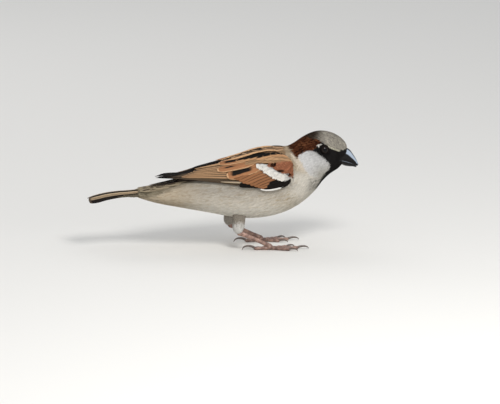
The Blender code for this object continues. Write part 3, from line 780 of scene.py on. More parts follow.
def vanes(chart, root, middle, tip, half, lift, bow=0.15, roll=0.0, blunt=1.0, steps=13, ribs=9):
    """Stiff feathers as thin closed blades on a chart.

    The quill line is the parabola through root, middle and tip. The blade widens fast from the root, keeps
    its half width, and rounds off over blunt half widths at the tip. It is bowed across, rolled so that one
    edge lies over the next feather, and rises from the first lift at the root to the second at the tip.
    """
    u = np.sin(np.linspace(0, math.pi / 2, steps)) ** 0.85
    v = FINE_RIBS if ribs == 9 else np.linspace(-1, 1, ribs)
    t = u[:, None]
    root, middle, tip = root[:, None], middle[:, None], tip[:, None]
    quill = root * ((1 - t) * (1 - 2 * t)) + middle * (4 * t * (1 - t)) + tip * (t * (2 * t - 1))
    slope = unit(root * (4 * t - 3) + middle * (4 - 8 * t) + tip * (4 * t - 1))
    side = np.stack([-slope[..., 1], slope[..., 0]], axis=-1)
    side = side * np.where(side[..., 1:] < 0, -1, 1)
    cap = np.clip(half * blunt / np.linalg.norm(tip - root, axis=2), 0.03, 0.7)
    near = np.clip((u - (1 - cap)) / cap, 0, 1)
    fill = ((0.30 + 0.70 * ease(0, 0.22, u)) * np.sqrt(1 - 0.985 * near**2))[..., None]
    place = quill[:, :, None] + side[:, :, None] * (v * half * fill)[..., None]
    level = lift[:, :1] + (lift[:, 1:] - lift[:, :1]) * u
    height = level[..., None] + (bow * (1 - v**2) + roll * v) * fill
    ridge = np.where(np.abs(v) < 0.05, 0.09, 0.0) * (1 - t * 0.7)
    thick = 0.10 + 0.06 * (1 - np.abs(v))
    upper, lower = (chart.at(place[..., 0], place[..., 1], height + over) for over in (ridge, -thick))
    rings = np.concatenate([upper, lower[:, :, -2:0:-1]], axis=2)
    count, _, around = rings.shape[:3]
    across = np.arange(ribs - 1)
    low = np.append(-across % around, ribs - 1)
    strip = np.stack([across, across + 1, low[1:], low[:-1]], -1)[1:-1]
    corner = np.array([(0, 1, low[1]), (ribs - 2, ribs - 1, low[-2])])
    end = (steps - 1) * around
    faces = (
        np.concatenate([ring_quads(steps, around), strip[:, ::-1], strip + end]),
        np.concatenate([corner[:, ::-1], corner + end]),
    )
    offset = (np.arange(count) * steps * around)[:, None, None]
    quads, tris = ((f + offset).reshape(-1, f.shape[1]) for f in faces)
    inside = np.repeat(rings.mean(axis=(1, 2)), len(quads) // count, axis=0)
    points = rings.reshape(-1, 3)
    u, v = (np.broadcast_to(m, rings.shape[:3]).reshape(count, -1) for m in (t, np.append(v, v[-2:0:-1])))
    return (points, outward(points, inside, quads, tris)), u, v


class Plumes:
    """Gathers rows of vanes on a chart, with the pattern of each, into one piece."""

    def __init__(self, chart, random, **form):
        self.chart, self.random, self.form = chart, random, form
        self.shapes, self.patterns, self.count = [], [], 0

    def row(self, root, tip, half, lift, look, middle=None, count=None, **form):
        """One row of vanes. Roots, tips, middles and lifts are each vane's own, or points along the row."""
        form = {**self.form, **form}
        jitter = form.pop("jitter")
        count = count or len(np.atleast_2d(root))
        root, tip = (
            spaced(ends, count) + self.random.uniform(-jitter, jitter, (count, 2)) for ends in (root, tip)
        )
        middle = (root + tip) / 2 if middle is None else spaced(middle, count)
        shape, u, v = vanes(self.chart, root, middle, tip, half, spaced(lift, count), **form)
        self.shapes.append(shape)
        tone = self.random.uniform(0.88, 1.12, (count, 1))
        pattern = {
            "core": with_alpha(look["core"] * tone, look["tip_from"]),
            "edge": with_alpha(look["edge"] * tone, look["rim_width"]),
            "rim": with_alpha(look["rim"] * tone, self.random.uniform(0, 1, count)),
            "shape": spaced(look["shape"], count),
            "owner": self.count + np.arange(count),
        }
        pattern = {key: np.repeat(value, u.shape[1], axis=0) for key, value in pattern.items()}
        self.patterns.append({**pattern, "u": u.ravel(), "v": v.ravel()})
        self.count += count

    def add(self, name, finish, nodes=(), slot=None):
        """All rows as one piece; on the bake map each vane has a cell of a square table."""
        values = {key: np.concatenate([p[key] for p in self.patterns]) for key in self.patterns[0]}
        u, v, owner = (values.pop(key) for key in ("u", "v", "owner"))
        columns = max(1, round(math.sqrt(self.count / 2.6)))
        rows = math.ceil(self.count / columns)
        cell_x, cell_y = owner % columns, owner // columns
        bake = np.stack([(cell_x + 0.06 + 0.88 * u) / columns, (cell_y + 0.5 + 0.42 * v) / rows], axis=1)
        vane = np.stack([u, v * 0.5 + 0.5], axis=1)
        add_piece(name, joined(self.shapes), finish, nodes, values, {"OFBake": bake, "vane": vane})


# --- wings, back and tail -----------------------------------------------------------------------------

INK, SOOT, DUSK = colour(24, 21, 19), colour(58, 49, 41), colour(88, 75, 62)
RUFOUS, TAN, FRINGE = colour(148, 103, 71), colour(160, 126, 93), colour(190, 158, 124)
WHITE, LESSER, ROSY = colour(220, 216, 209), colour(162, 104, 76), colour(130, 89, 60)
PALE, STONE = colour(176, 158, 132), colour(134, 122, 100)


def look(core, edge, rim, shape, rim_width=0.08, tip_from=9.0):
    """Colours of a vane's core, edge and rim; shape is the core's start, end, half width and shift."""
    return dict(core=core, edge=edge, rim=rim, shape=shape, rim_width=rim_width, tip_from=tip_from)


PRIMARY = look(INK, colour(97, 82, 66), INK, (-1, 2, 0.84, -0.16), 0.02, 0.84)
SECONDARY = look(DUSK * 0.8, TAN, TAN * 1.15, (-1, 2, 0.78, -0.42), 0.03)
EDGE_FEATHER = look(INK, TAN * 1.1, TAN, (-1, 2, 0.24, 0.86), 0.0)
TOP_FEATHER = look(INK, INK * 1.2, INK * 1.2, (-1, 2, 2, 0), 0.03)
LOW_FEATHER = look(DUSK, PALE * 0.9, PALE * 0.8, (-1, 2, 0.55, -0.75))
COVERT = look(colour(84, 58, 42), ROSY, ROSY * 1.3, (-1, 0.9, 0.10, -0.05), 0.10)
ALULA = look(INK * 0.8, INK, SOOT, (-1, 2, 0.95, -0.2), 0.04)
WEDGE = look(WHITE, WHITE * 0.9, WHITE, (-1, 2, 2, 0))


def wing_feathers(name, finish, core_finish):
    """All feathers of one folded wing, laid from the lowest layer to the highest."""
    chart, random = WING[name], np.random.default_rng(31)

    flight = Plumes(chart, random, jitter=0.05, roll=0.12, bow=0.10, blunt=4.5, steps=17)
    tips = ((-34.2, 0.6), (-35.6, 0.4), (-36.9, 0.2), (-35.8, 0.1), (-34.0, 0.1), (-32.2, 0.3), (-30.4, 0.6),
            (-28.6, 1.0))
    flight.row(((20, 23.2), (20, 18.3)), tips, 1.9, ((-1.85, -1.0), (-1.5, -0.79)), PRIMARY,
               ((-8, 13.5), (-8, 9.65)), 8, roll=0.14, bow=0.05, blunt=5.0)
    flight.row(((12, 9.6), (12, 6.0)), ((-35.8, 0.1), (-32.0, 0.2), (-26.5, 0.3)), 1.9,
               ((-1.4, -0.72), (-1.28, -0.60)), PRIMARY, ((-11, 5.6), (-11, 1.8)), 5, roll=0.14, bow=0.08)
    flight.row(((12, 15.2), (12, 3.4)), ((-23.4, 4.9), (-19.0, 3.3), (-13.0, 0.3)), 1.75,
               ((-1.1, -0.62), (-0.61, -0.20)), SECONDARY, ((-3.5, 12.4), (-3, 2.0)), 8,
               jitter=0.08, bow=0.06, blunt=3.2, steps=15)
    over = 0.12 * (name == "left")  # where the wings' tips cross, the left lies on the right
    flight.row(((4, 0.4), (4, -1.4)), ((-35.0, 0.0), (-33.0, -0.9), (-27.0, -1.6)), 1.7,
               (-1.1 + over, -0.62 + over), PRIMARY, ((-15, 0.6), (-15, -1.5)), 4, roll=0.08)
    flight.row((12, 4.4), (-15.5, 0.0), 1.7, (-0.6, -0.1), EDGE_FEATHER, (-3, 1.8), blunt=3.2, steps=15)
    flight.row((12, -1.2), (-17.0, -1.3), 1.35, (-0.52, -0.02), TOP_FEATHER, (-3, -1.1), blunt=3.2, steps=15)
    flight.row((14, 20.1), (-3.0, 16.4), 0.8, (-0.75, -0.60), LOW_FEATHER, jitter=0, roll=0.1, blunt=16,
               steps=13)
    for root, tip, half, shape, level in (
        ((21.0, 11.2), (0.4, 13.6), 3.9, (0.34, 0.86, 0.46, -0.12), -0.72),
        ((18.0, 7.4), (-4.2, 7.9), 3.4, (0.58, 0.80, 0.20, -0.05), -0.55),
        ((17.0, 3.2), (-2.8, 1.9), 3.4, (0.48, 0.82, 0.36, 0.05), -0.38),
    ):
        tertial = look(INK, RUFOUS * 0.94, FRINGE * (1.02, 0.93, 0.84), shape, 0.19)
        flight.row(root, tip, half, (level, level + 0.42), tertial, jitter=0, bow=0.30, blunt=1.3)
    flight.add(f"flight_{name}", finish, (f"wing_{name}",), "brown_feathers")

    coverts = Plumes(chart, random, jitter=0.1, roll=0.12)
    coverts.row(((22, 24.4), (22, 23.0), (22, 21.5)), ((7.0, 20.3), (7.2, 19.3), (8.2, 18.2)), 1.2,
                (-1.0, -0.62), ALULA, blunt=1.4)
    coverts.row(((31.0, 20.4), (24, 16.5), (17.5, 11.0)),
                ((18.8, 24.2), (15.1, 22.6), (10.8, 20.0), (7.0, 17.6), (3.2, 15.0)), 1.8, (-0.85, -0.25),
                COVERT, count=9, jitter=0.25, roll=0.14, bow=0.16, blunt=1.6)
    coverts.row(((36.5, 16.2), (36.2, 17.0), (35.6, 17.8)), ((23.5, 22.8), (22.0, 23.7), (19.6, 24.4)), 1.35,
                (-0.55, -0.3), ALULA, ((30.2, 20.0), (29.4, 21.4), (28.4, 23.2)), blunt=1.3)
    coverts.row((31.5, 22.6), (18.6, 24.9), 0.62, (-0.40, -0.22), WEDGE, (25.0, 25.5), jitter=0, roll=0,
                blunt=8)
    coverts.add(f"coverts_{name}", finish)

    mantle = Plumes(chart, random, jitter=0.3, bow=0.20, blunt=1.7, roll=0.06)
    for roots, tips, count, kind, level, half in (
        (((23.0, 6.6), (28.0, 7.4), (33.0, 7.0), (37.5, 5.8), (40.0, 4.6)),
         ((11.0, 7.8), (16.6, 8.4), (22.0, 9.6), (27.5, 10.2), (31.5, 9.0)),
         9, look(TAN * 0.6, TAN * 0.9, TAN, (0.1, 0.9, 0.12, 0.1)), -0.3, 1.9),
        (((29.0, 4.0), (34.0, 4.0), (38.0, 3.2), (40.5, 2.4)),
         ((18.5, 7.2), (24.5, 8.0), (30.0, 7.2), (34.0, 5.6)),
         6, look(TAN * 0.55, TAN * 0.95, TAN * 1.05, (0.1, 0.9, 0.14, -0.1)), -0.18, 1.9),
        (((21.0, 3.2), (27.0, 3.8), (33.5, 2.8), (38.0, 1.0), (39.6, 0.2)),
         ((6.6, 3.4), (12.6, 4.8), (18.6, 6.0), (25.6, 4.4), (31.0, 2.2)),
         8, look(INK * 0.7, TAN * (1.12, 1.02, 0.96), TAN * 1.1, (0.0, 0.95, 0.74, -0.50), 0.03), -0.12, 2.3),
        (((18.0, -0.6), (25.0, -1.1), (32.0, -2.2), (38.0, -2.8)),
         ((3.0, -0.4), (10.5, -0.3), (18.0, -0.5), (26.0, -1.0)),
         7, look(INK, TAN * 1.45, TAN * 1.5, (-1, 0.9, 0.34, -0.72), 0.06), 0.0, 1.9),
    ):
        mantle.row(along(roots, count), along(tips, count), half, (level - 0.2, level + 0.2), kind)
    mantle.add(f"scapulars_{name}", finish)

    # a thin core under the feathers, from the upper edge to the lower
    table = np.array(WING_SECTIONS)[::-1]
    xs = np.linspace(37.5, -26, 46)
    span = np.interp(xs, table[:, 0], wing_curve(table, np.linspace(0, 1, 41))[2].sum(axis=1))
    girth = 0.9 + (np.maximum(span - 1.4, 1.6)[:, None] - 0.9) * np.linspace(0, 1, 15)
    x = np.repeat(xs[:, None], 15, axis=1)
    core_top, core_bottom = -2.1, -2.5
    top, bottom = chart.at(x, girth, core_top), chart.at(x, girth, core_bottom)
    shape = loft(np.concatenate([top, bottom[:, ::-1]], axis=1))
    add_piece(f"wing_core_{name}", shape, core_finish, values=under_feathers(np.tile(SOOT, (len(shape[0]), 1))))


WING_MAP = np.array(((12.0, -1.0), (44.0, 28.0)))  # the part of the wing that the shoulder's bake map covers


def soft_row(chart, root, tip, tints, size, count, thick, rise, random, tone=1.0):
    """A batch of soft feathers between places on a wing; tints are the colours at root, middle and tip."""
    move = tip - root
    lie = move[:, :1] * chart.read(chart.da, *root.T) + move[:, 1:] * chart.read(chart.db, *root.T)
    made, shade, seen, spread = fans(chart, *root.T, lie, size, 0.62, 0.55, rise, count, thick, random)
    if callable(tints):
        tint = tints(seen)[:, :, None]
    else:
        tint = np.stack([np.interp(shade, (0.2, 0.35, 0.86, 1.0), line) for line in np.transpose(tints)], -1)
    tint = tint * random.uniform(0.9, 1.08, (len(root), 1, 1, 1)) * np.reshape(tone, (-1, 1, 1, 1))
    place = on_map(*((root - WING_MAP[0]) / (WING_MAP[1] - WING_MAP[0])).T)
    return made, shade, tint, place, spread


# lower edges of the white bar on the wing and of the chestnut over it
BAR_LOW = ((31.2, 17.7), (30.2, 18.1), (29.0, 18.4), (26.4, 18.2), (23.4, 16.8), (20.7, 15.0), (18.2, 13.1),
           (16.6, 11.8))
BAR_TOP = ((16.4, 9.9), (20.0, 11.2), (24.7, 12.6), (28.3, 14.6), (31.5, 15.6), (35.0, 15.2), (42.0, 12.0))
# dark spots above the bar: place and half sizes
BLACK_SPOTS = ((26.2, 11.6, 1.6, 1.2), (30.0, 14.4, 2.0, 0.7), (33.6, 15.2, 2.4, 0.8), (27.6, 9.6, 0.6, 2.2))


def chestnut(chart, seen):
    """The shoulder's colour at places seen on a wing."""
    mix = ease(-0.5, 0.9, blotches(seen, 1.6, 21))[..., None]
    tint = LESSER * 0.62 + (LESSER * 1.15 - LESSER * 0.62) * mix
    for a, b, wide, tall in BLACK_SPOTS:
        spot = np.array((a,)), np.array((b,))
        off = seen - chart.at(*spot)
        off_a, off_b = (off @ unit(chart.read(table, *spot))[0] for table in (chart.da, chart.db))
        tint = tint * (1 - 0.88 * ease(1.2, 0.9, np.hypot(off_a / wide, off_b / tall)))[..., None]
    return tint


def shoulder_coat(finish):
    """Soft feathers of both wings: the white bar, the chestnut shoulder over it, and the breast's over that."""
    random = np.random.default_rng(33)
    for name, chart in WING.items():
        scallop = np.abs(np.sin(np.arange(64) / 64 * 8 * math.pi))[:, None]
        tip = along(BAR_LOW, 64) + (0.5 - scallop) * (0.9, -0.5) + random.uniform(-0.3, 0.3, (64, 2))
        reach = 0.5 + 0.5 * ease(64, 46, np.arange(64))
        # the last argument darkens the bar's feathers where the scallops meet: painted shade between the
        # feathers
        batches = [soft_row(chart, tip + reach[:, None] * (5.0, -2.7), tip,
                            (INK, WHITE, WHITE * 1.08, WHITE * (1.06, 0.98, 0.88)),
                            random.uniform(5.0, 6.1, 64) * reach, 13, 0.34, 1.55, random,
                            0.62 + 0.38 * ease(0.05, 0.5, scallop))]

        root = random.uniform((25.5, 0.5), (41.5, 15.5), (1500, 2))
        tip = root + (-2.9, 1.75)
        upper = np.interp(tip[:, 0], (22, 26, 30, 37, 42), (12.5, 11.2, 9.8, 7.0, 5.5))
        upper = upper + random.uniform(-0.6, 0.6, 1500)
        lower = follow(BAR_TOP, tip[:, 0]) + random.uniform(-0.5, 0.5, 1500)
        keep = (tip[:, 1] < lower) & (tip[:, 1] > upper) & (root[:, 0] < 41.0)
        batches.append(soft_row(chart, root[keep], tip[keep], lambda seen, chart=chart: chestnut(chart, seen),
                                random.uniform(2.7, 3.7, keep.sum()), 9, 0.24, 1.5, random))

        root = random.uniform((40.0, 3.0), (41.9, 18.5), (210, 2))
        root[:, 0] -= 3.4 * ease(13, 19, root[:, 1])
        move = np.stack([np.full(210, -2.8), 0.10 * (root[:, 1] - 12)], axis=1)
        batches.append(soft_row(chart, root, root + move, plumage, random.uniform(2.4, 3.4, 210), 11, 0.24, 1.9,
                                random))
        add_coat(f"coat_shoulder_{name}", batches, finish)


def mantle_feathers(finish):
    """Streaked feathers of the upper back, in rows from the nape towards the rump."""
    mantle = Plumes(BACK, np.random.default_rng(41), jitter=0.3, bow=0.22, blunt=1.7, ribs=7, steps=9)
    streak = look(INK, TAN * (1.12, 1.16, 1.25), TAN * (1.2, 1.22, 1.3), (-0.1, 0.97, 0.58, -0.34), 0.05)
    plain = look(INK * 2.2, TAN * (1.12, 1.18, 1.3), TAN * (1.18, 1.22, 1.35), (-0.1, 0.90, 0.28, 0), 0.05)
    for n, x in enumerate(np.arange(-6.4, 32, 2.8)):
        for y, kind in ((0.0, plain), (2.3, streak), (4.6, plain), (6.8, streak)):
            for side in (-1, 1) if y else (1,):
                kind = {**kind, "shape": (*kind["shape"][:3], side * -abs(kind["shape"][3]))}
                shift = 1.4 * (n % 2)
                high = 0.6 + 1.1 * ease(26, 8, x) - 0.8 * ease(2.5, 6.5, y)
                mantle.row((x + 7.6 + shift, y * side * ease(44, 30, x + 5) * 0.9), (x - 3.5 + shift, y * side),
                           1.7, (-1.2, high), kind)
    mantle.add("mantle", finish)


def rump_feathers(finish):
    """Softly streaked feathers from the rump over the base of the tail."""
    rump = Plumes(BACK, np.random.default_rng(42), jitter=0.35, bow=0.25, blunt=2.2, ribs=7, steps=9)
    soft = look(DUSK * 0.7, STONE, PALE * 0.85, (-0.1, 0.86, 0.34, 0), 0.10)
    for n, x in enumerate(np.arange(-2, -44, -3.4)):
        reach = 5.2 - 0.03 * n
        for y in np.arange(-3, 3.1, 1.5) + 0.75 * (n % 2):
            across = y / 3.5
            rump.row((x + 7.5, across * reach * 1.05), (x - 2.5, across * reach), 2.0, (-0.35, 0.35), soft)
    # long dark feathers along each side of the rump: partly dark-centred coverts, partly painted shade at the
    # rump's edge
    dark = look(INK * 1.6, DUSK, DUSK * 1.2, (-1, 0.97, 0.75, 0))
    for side in (-1, 1):
        rump.row(((-14.0, 4.6 * side), (-18.0, 3.3 * side)), ((-36.5, 2.4 * side), (-39.5, 1.5 * side)), 1.1,
                 (0.2, 0.85), dark, jitter=0.2, bow=0.2, blunt=3.0, ribs=9, steps=13)
    rump.chart = TAIL
    for n, x in enumerate((-38.5, -41.5, -44.0)):
        for y in np.arange(-3, 3.1, 1.5) + 0.75 * (n % 2):
            rump.row((x + 9, y * 1.5), (x - 3.6 + 0.5 * abs(y), y * 1.75), 1.9, (0.3, 0.80 - 0.12 * n), soft,
                     jitter=0.3, bow=0.22, blunt=2.6)
    rump.add("rump_feathers", finish)


def tail_feathers(finish):
    """Twelve tail feathers, the middle pair on top, each one a little lower and further out."""
    tail = Plumes(TAIL, np.random.default_rng(51), jitter=0.08, bow=0.12, blunt=1.9, steps=17)
    for n in range(5, -1, -1):
        for side in (-1, 1):
            # pale outer webs, paler on the outer feathers, are partly buff edges and partly painted sheen; the
            # outer two pairs, dark past 0.42 of their length, are partly dark brown and partly painted shade of
            # the tail's lower edge
            edge = PALE * (0.80 + 0.05 * n) * (1.06, 0.99, 0.92)
            half_core = (0.66, 0.60, 0.60, 1.5, 1.5, 1.5)[n]
            start = 0.42 if n > 3 else -1
            shift = -side * (0.40 if n else 0.33)
            kind = look(INK * (1.15, 1.25, 1.45), edge, DUSK, (start, 2, half_core, shift), 0.03)
            root, middle = (-30.0, side * (0.4 + 0.25 * n)), (-52.0, side * (0.9 + 0.55 * n))
            tip = (-73.6 - 0.32 * n + 0.05 * n * n, side * (0.9 + 0.80 * n + 0.05 * n * n))
            level = -0.15 * n - 0.12 + 0.07 * (side < 0)
            droop = (0.0, 0.0, 0.0, 0.05, 0.22, 0.45)[n]
            tail.row(root, tip, 3.1, (level - 0.2, level), kind, middle, roll=side * (0.05 - droop))
    tail.add("tail_feathers", finish, ("tail",), "tail_feathers")


def tail_coverts(finish):
    """Soft feathers under the base of the tail, thinning out along it."""
    random = np.random.default_rng(13)
    count = 560
    a, b = random.uniform(-53, -40, count), random.uniform(-4.9, 4.9, count)
    size = random.uniform(6.0, 8.5, count)
    lie = np.stack([np.full(count, -1.0), b * 0.02, np.zeros(count)], axis=1)
    rise = (2.6 * ease(-54, -40, a) + 0.6) * (1 - 0.5 * ease(3.0, 4.9, np.abs(b)))
    made, shade, seen, spread = fans(UNDER_TAIL, a, b, lie, size, 0.5, 0.7, rise, 11, 0.36, random)
    tint = (plumage(seen) * random.uniform(0.92, 1.07, (count, 1, 1)))[:, :, None]
    batch = made, shade, tint, on_map((a + 53) / 13, (b + 4.9) / 9.8), spread
    add_coat("coat_undertail", [batch], finish, calm=False)


# --- eyes and bill ------------------------------------------------------------------------------------


def eyes(finish):
    """Each eyeball is a sphere in rings round its axis, with a bell-shaped rise for the cornea."""
    polar = np.linspace(0.02, math.pi - 0.02, 40)[:, None]
    size = EYE_RADIUS * (1 + 0.035 * bell(polar, 0, 0.55))
    for name in SIDES:
        axis = EYE_AXIS[name]
        ahead = unit(np.cross(axis, (0.0, 0, 1.0)))
        middle = EYE_CENTRE[name] + axis * (size * np.cos(polar))[..., None]
        wide = size * np.sin(polar)
        shape = loft(oval(middle, ahead, np.cross(axis, ahead), wide, wide, shares(48) * TURN))
        off_axis = np.append(np.repeat(polar, 48), (0, math.pi))
        add_piece(f"eyeball_{name}", shape, finish, (f"eye_{name}",), {"off_axis": off_axis})


def bill_half(crest_column, tip, split):
    """One half of the bill: arches from the cutting edge to a keeled crest, rounded off to its tip.

    Across a ring, the side is a power of the cosine and the crest a power of the sine. Past the last section
    the rings shrink to the tip as a quarter circle does.
    """
    back = (66.4, 55.2, 61.2, 49.0, 63.8, 45.6, 5.4)
    rows = along([back, *BILL_SECTIONS], 60)
    edge, crest = rows[:, 2:4], rows[:, crest_column : crest_column + 2]
    height = np.linalg.norm(crest - edge, axis=1)[:, None]
    away = (crest - edge) / height
    angle = np.linspace(0, math.pi, 41)[None]
    side = rows[:, 6:7] * signed_power(np.cos(angle), 0.88)
    arch = np.sin(angle)
    level = split + (height - split) * (0.93 * arch**0.95 + 0.07 * arch**12)
    x, z = (edge[:, n : n + 1] + away[:, n : n + 1] * level for n in (0, 1))
    rings = np.stack([x, side, z], axis=2)
    point = np.array((tip[0], 0, tip[1]))
    ahead = np.linspace(0, 1, 12)[1:-1, None, None]
    last = rings[-1:]
    middle = last.mean(axis=1, keepdims=True)
    end = middle + (point - middle) * ahead + (last - middle) * np.sqrt(1 - ahead**2)
    rings = np.concatenate([rings, end])
    lengthwise, across = grid(np.linspace(0, 1, len(rings)), arch[0])
    return rings, across, np.append(lengthwise, (0, 1))


def bill(finish):
    """Both halves of the bill, with a nostril pit on each side and a groove along the cutting edge."""
    rings, across, run = bill_half(0, (75.6, 43.7), 0.03)
    pit = bell(rings[..., 0], 69.3, 0.8) * bell(rings[..., 2], 51.2, 0.45)
    rings[..., 1] -= np.sign(rings[..., 1]) * 0.6 * pit
    rings[..., 1] *= 1 - 0.05 * bell(across, 0.12, 0.05)
    values = {"across": np.append(across, (0.5, 0.5)), "lengthwise": run}
    add_piece("bill_top", loft(rings), finish, ("bill_upper",), values)
    rings, across, run = bill_half(4, (74.7, 43.1), 0.05)
    rings[..., 1] *= 0.93
    # the lower half carries under across the strength of a painted grey-blue highlight along its upper side,
    # not its place across
    values = {"across": np.append(0.57 * bell(across, 0.30, 0.14), (0, 0)), "lengthwise": run}
    add_piece("bill_bottom", loft(rings), finish, ("bill_lower",), values)


# --- feet ---------------------------------------------------------------------------------------------


SCUTE = 1.25  # length of a plate on shank and toes


def tube(path, wide, tall, around=20, scutes=0.0, lowest=0.0):
    """Rings across a path, cut flat at the lowest height.

    scutes raises overlapping plates on the upper side, a sawtooth of that depth.
    """
    forward = unit(np.gradient(path, axis=0))
    level = np.cross(forward, (0, 0, 1.0))
    steep = np.linalg.norm(level, axis=1, keepdims=True)
    level = np.where(steep > 1e-6, level / np.maximum(steep, 1e-6), (0, 1.0, 0))
    upright = np.cross(level, forward)
    angle = (np.arange(around) + 0.5) * TURN / around
    plate = scutes * (np.mod(run_of(path) / SCUTE, 1) - 0.5)[:, None] * np.clip(np.sin(angle) + 0.35, 0, 1)
    path, level, upright, wide, tall = (m[:, None] for m in (path, level, upright, wide, tall))
    rings = oval(path, level, upright, wide + plate, tall + plate, angle)
    rings[..., 2] = np.maximum(rings[..., 2], np.reshape(lowest, (-1, 1)))
    return rings


def foot(name, skin_finish, claw_finish):
    """One foot: tubes for shank, toes and claws, and an ellipsoid cut flat for the ball.

    A toe's radius goes evenly from root to tip and swells by a cosine over each pad, and its end is a quarter
    circle. A claw thins by a power of the way left, and arches as a sine does.
    """
    side, step = SIDES[name], LEG_STEP[name]
    y = side * LEG_SIDE
    ankle, joint = (np.array((x + step, y, z)) for x, z in (ANKLE, TOE_JOINT))
    base = joint * (1, 1, 0)
    t = np.append(-0.06 + 0.08 * (1 - np.cos(np.linspace(0.15, 1.57, 8))), np.linspace(0.03, 1.02, 112))
    path = ankle * (1 - t[:, None]) + joint * t[:, None]
    path[:, 2] += 0.25 * np.sin(np.pi * t)
    radius = np.interp(t, (0, 0.1, 0.4, 0.75, 1), (1.55, 1.36, 1.12, 1.10, 1.38))
    radius *= rounded((0.03 - t) / 0.095, 0.01)
    lean = np.linspace(0.03, 0.97, 20)[:, None] * math.pi
    middle = base + (0, 0, 1.4) - np.cos(lean)[..., None] * (0, 0, 1.75)
    ball = oval(middle, (1, 0, 0), (0, 1, 0), 1.75 * np.sin(lean), 1.70 * np.sin(lean), shares(28) * TURN)
    ball[..., 2] = np.maximum(ball[..., 2], 0)
    shapes, claws = [loft(tube(path, radius * 0.80, radius, 24, 0.13)), loft(ball)], []
    for n, (toe, (heading, length, root, tip, pads, claw)) in enumerate(TOES.items()):
        angle = math.radians(heading)
        ahead = np.array((math.cos(angle), side * math.sin(angle), 0.0))
        t = np.linspace(0, 1, 90)
        radius = root * (1 - t) + tip * t
        swell = 1 + 0.11 * np.cos(TURN * (t * pads - 0.5))
        path = base + ahead * (0.6 + (length - 0.35) * t)[:, None]
        path[:, 2] = radius * 0.88 + 0.12 * (swell - 1)
        radius = radius * swell * rounded((t - 0.93) / 0.07, 0.05)
        # the roots overlap, so their flat undersides lie at different heights
        lowest = 0.025 * (n + 1) * ease(0.5, 0.3, t)
        shapes.append(loft(tube(path, radius, radius, 20, 0.09, lowest)))
        t = np.linspace(0, 1, 40)
        path = base + ahead * (length - 0.5 + (claw + 0.8) * 0.93 * np.sin(t * math.pi / 2))[:, None]
        arc = 0.26 if toe == "hind" else 0.18
        path[:, 2] = tip * 0.95 * (1 - t) + arc * claw * np.sin(math.pi * t**0.8) + 0.12 * t
        radius = 0.74 * tip * (1 - t) ** 0.75 + 0.06
        claws.append(loft(tube(path, radius * 0.72, radius, 16)))
    toes = [f"toe_{toe}_{name}" for toe in TOES]
    add_piece(f"foot_{name}", joined(shapes), skin_finish, [f"shank_{name}", *toes])
    add_piece(f"claws_{name}", joined(claws), claw_finish, [f"claw_{toe}_{name}" for toe in TOES])


# --- materials ----------------------------------------------------------------------------------------


class Value:
    """A node's output, with which sums can be written out."""

    def __init__(self, wire, socket):
        self.wire, self.socket = wire, socket

    def __add__(self, other):
        return self.wire.math("ADD", self, other)

    def __radd__(self, other):
        return self.wire.math("ADD", other, self)

    def __sub__(self, other):
        return self.wire.math("SUBTRACT", self, other)

    def __rsub__(self, other):
        return self.wire.math("SUBTRACT", other, self)

    def __mul__(self, other):
        return self.wire.math("MULTIPLY", self, other)

    def __abs__(self):
        return self.wire.math("ABSOLUTE", self)


class Wiring:
    """Short calls for placing and joining shader nodes in one node tree."""

    def __init__(self, tree):
        self.tree = tree

    def node(self, kind, inputs=None, **settings):
        """A new node with its settings and inputs."""
        made = self.tree.nodes.new(kind)
        for key, value in settings.items():
            setattr(made, key, value)
        for key, value in (inputs or {}).items():
            self.feed(made.inputs[key], value)
        return made

    def feed(self, socket, value):
        """Joins or sets an input; a colour of three numbers gets a fourth."""
        if isinstance(value, Value):
            self.tree.links.new(value.socket, socket)
        elif isinstance(value, (int, float)):
            socket.default_value = value
        else:
            value = tuple(float(part) for part in value)
            socket.default_value = (*value, 1.0) if len(value) == 3 and socket.type == "RGBA" else value

    def get(self, kind, inputs=None, output=0, **settings):
        """An output of a new shader node, or a list of them."""
        outputs = self.node("ShaderNode" + kind, inputs, **settings).outputs
        if isinstance(output, tuple):
            return [Value(self, outputs[key]) for key in output]
        return Value(self, outputs[output])

    def surface(self, **inputs):
        """Feeds the Principled shader, whose inputs are named with _ for spaces."""
        shader = self.tree.nodes["Principled BSDF"]
        for key, value in inputs.items():
            self.feed(shader.inputs[key.replace("_", " ")], value)

    def math(self, operation, *values):
        """One sum of values or numbers."""
        return self.get("Math", dict(enumerate(values)), operation=operation)

    def step(self, low, high, value):
        """A smooth step from 0 at low to 1 at high."""
        inputs = {"Value": value, "From Min": low, "From Max": high}
        return self.get("MapRange", inputs, interpolation_type="SMOOTHSTEP")

    def mix(self, factor, under, over, blend="MIX"):
        """A colour laid over another by a factor."""
        return self.get("Mix", {0: factor, 6: under, 7: over}, 2, data_type="RGBA", blend_type=blend)

    def shaded(self, colour, light):
        """A colour multiplied by a number."""
        grey = self.get("CombineColor", {"Red": light, "Green": light, "Blue": light})
        return self.mix(1.0, colour, grey, "MULTIPLY")

    def noise(self, scale, detail, at):
        """Soft noise from 0 to 1 at places."""
        inputs = {"Scale": scale, "Detail": detail, "Roughness": 0.55, "Vector": at}
        return self.get("TexNoise", inputs, "Fac")

    def carried(self, name, output="Fac"):
        """What the mesh carries under a name."""
        return self.get("Attribute", None, output, attribute_name=name)

    def place(self):
        """Places on the piece, in metres."""
        return self.get("TexCoord", None, "Object")

    def bump(self, strength, distance, height, invert=False):
        """Fine relief from a height."""
        inputs = {"Strength": strength, "Distance": distance, "Height": height}
        self.surface(Normal=self.get("Bump", inputs, invert=invert))


def new_material(name, **inputs):
    """A material and the wiring of its nodes."""
    made = bpy.data.materials.new(name)
    made.use_nodes = True
    wire = Wiring(made.node_tree)
    wire.surface(**inputs)
    return made, wire


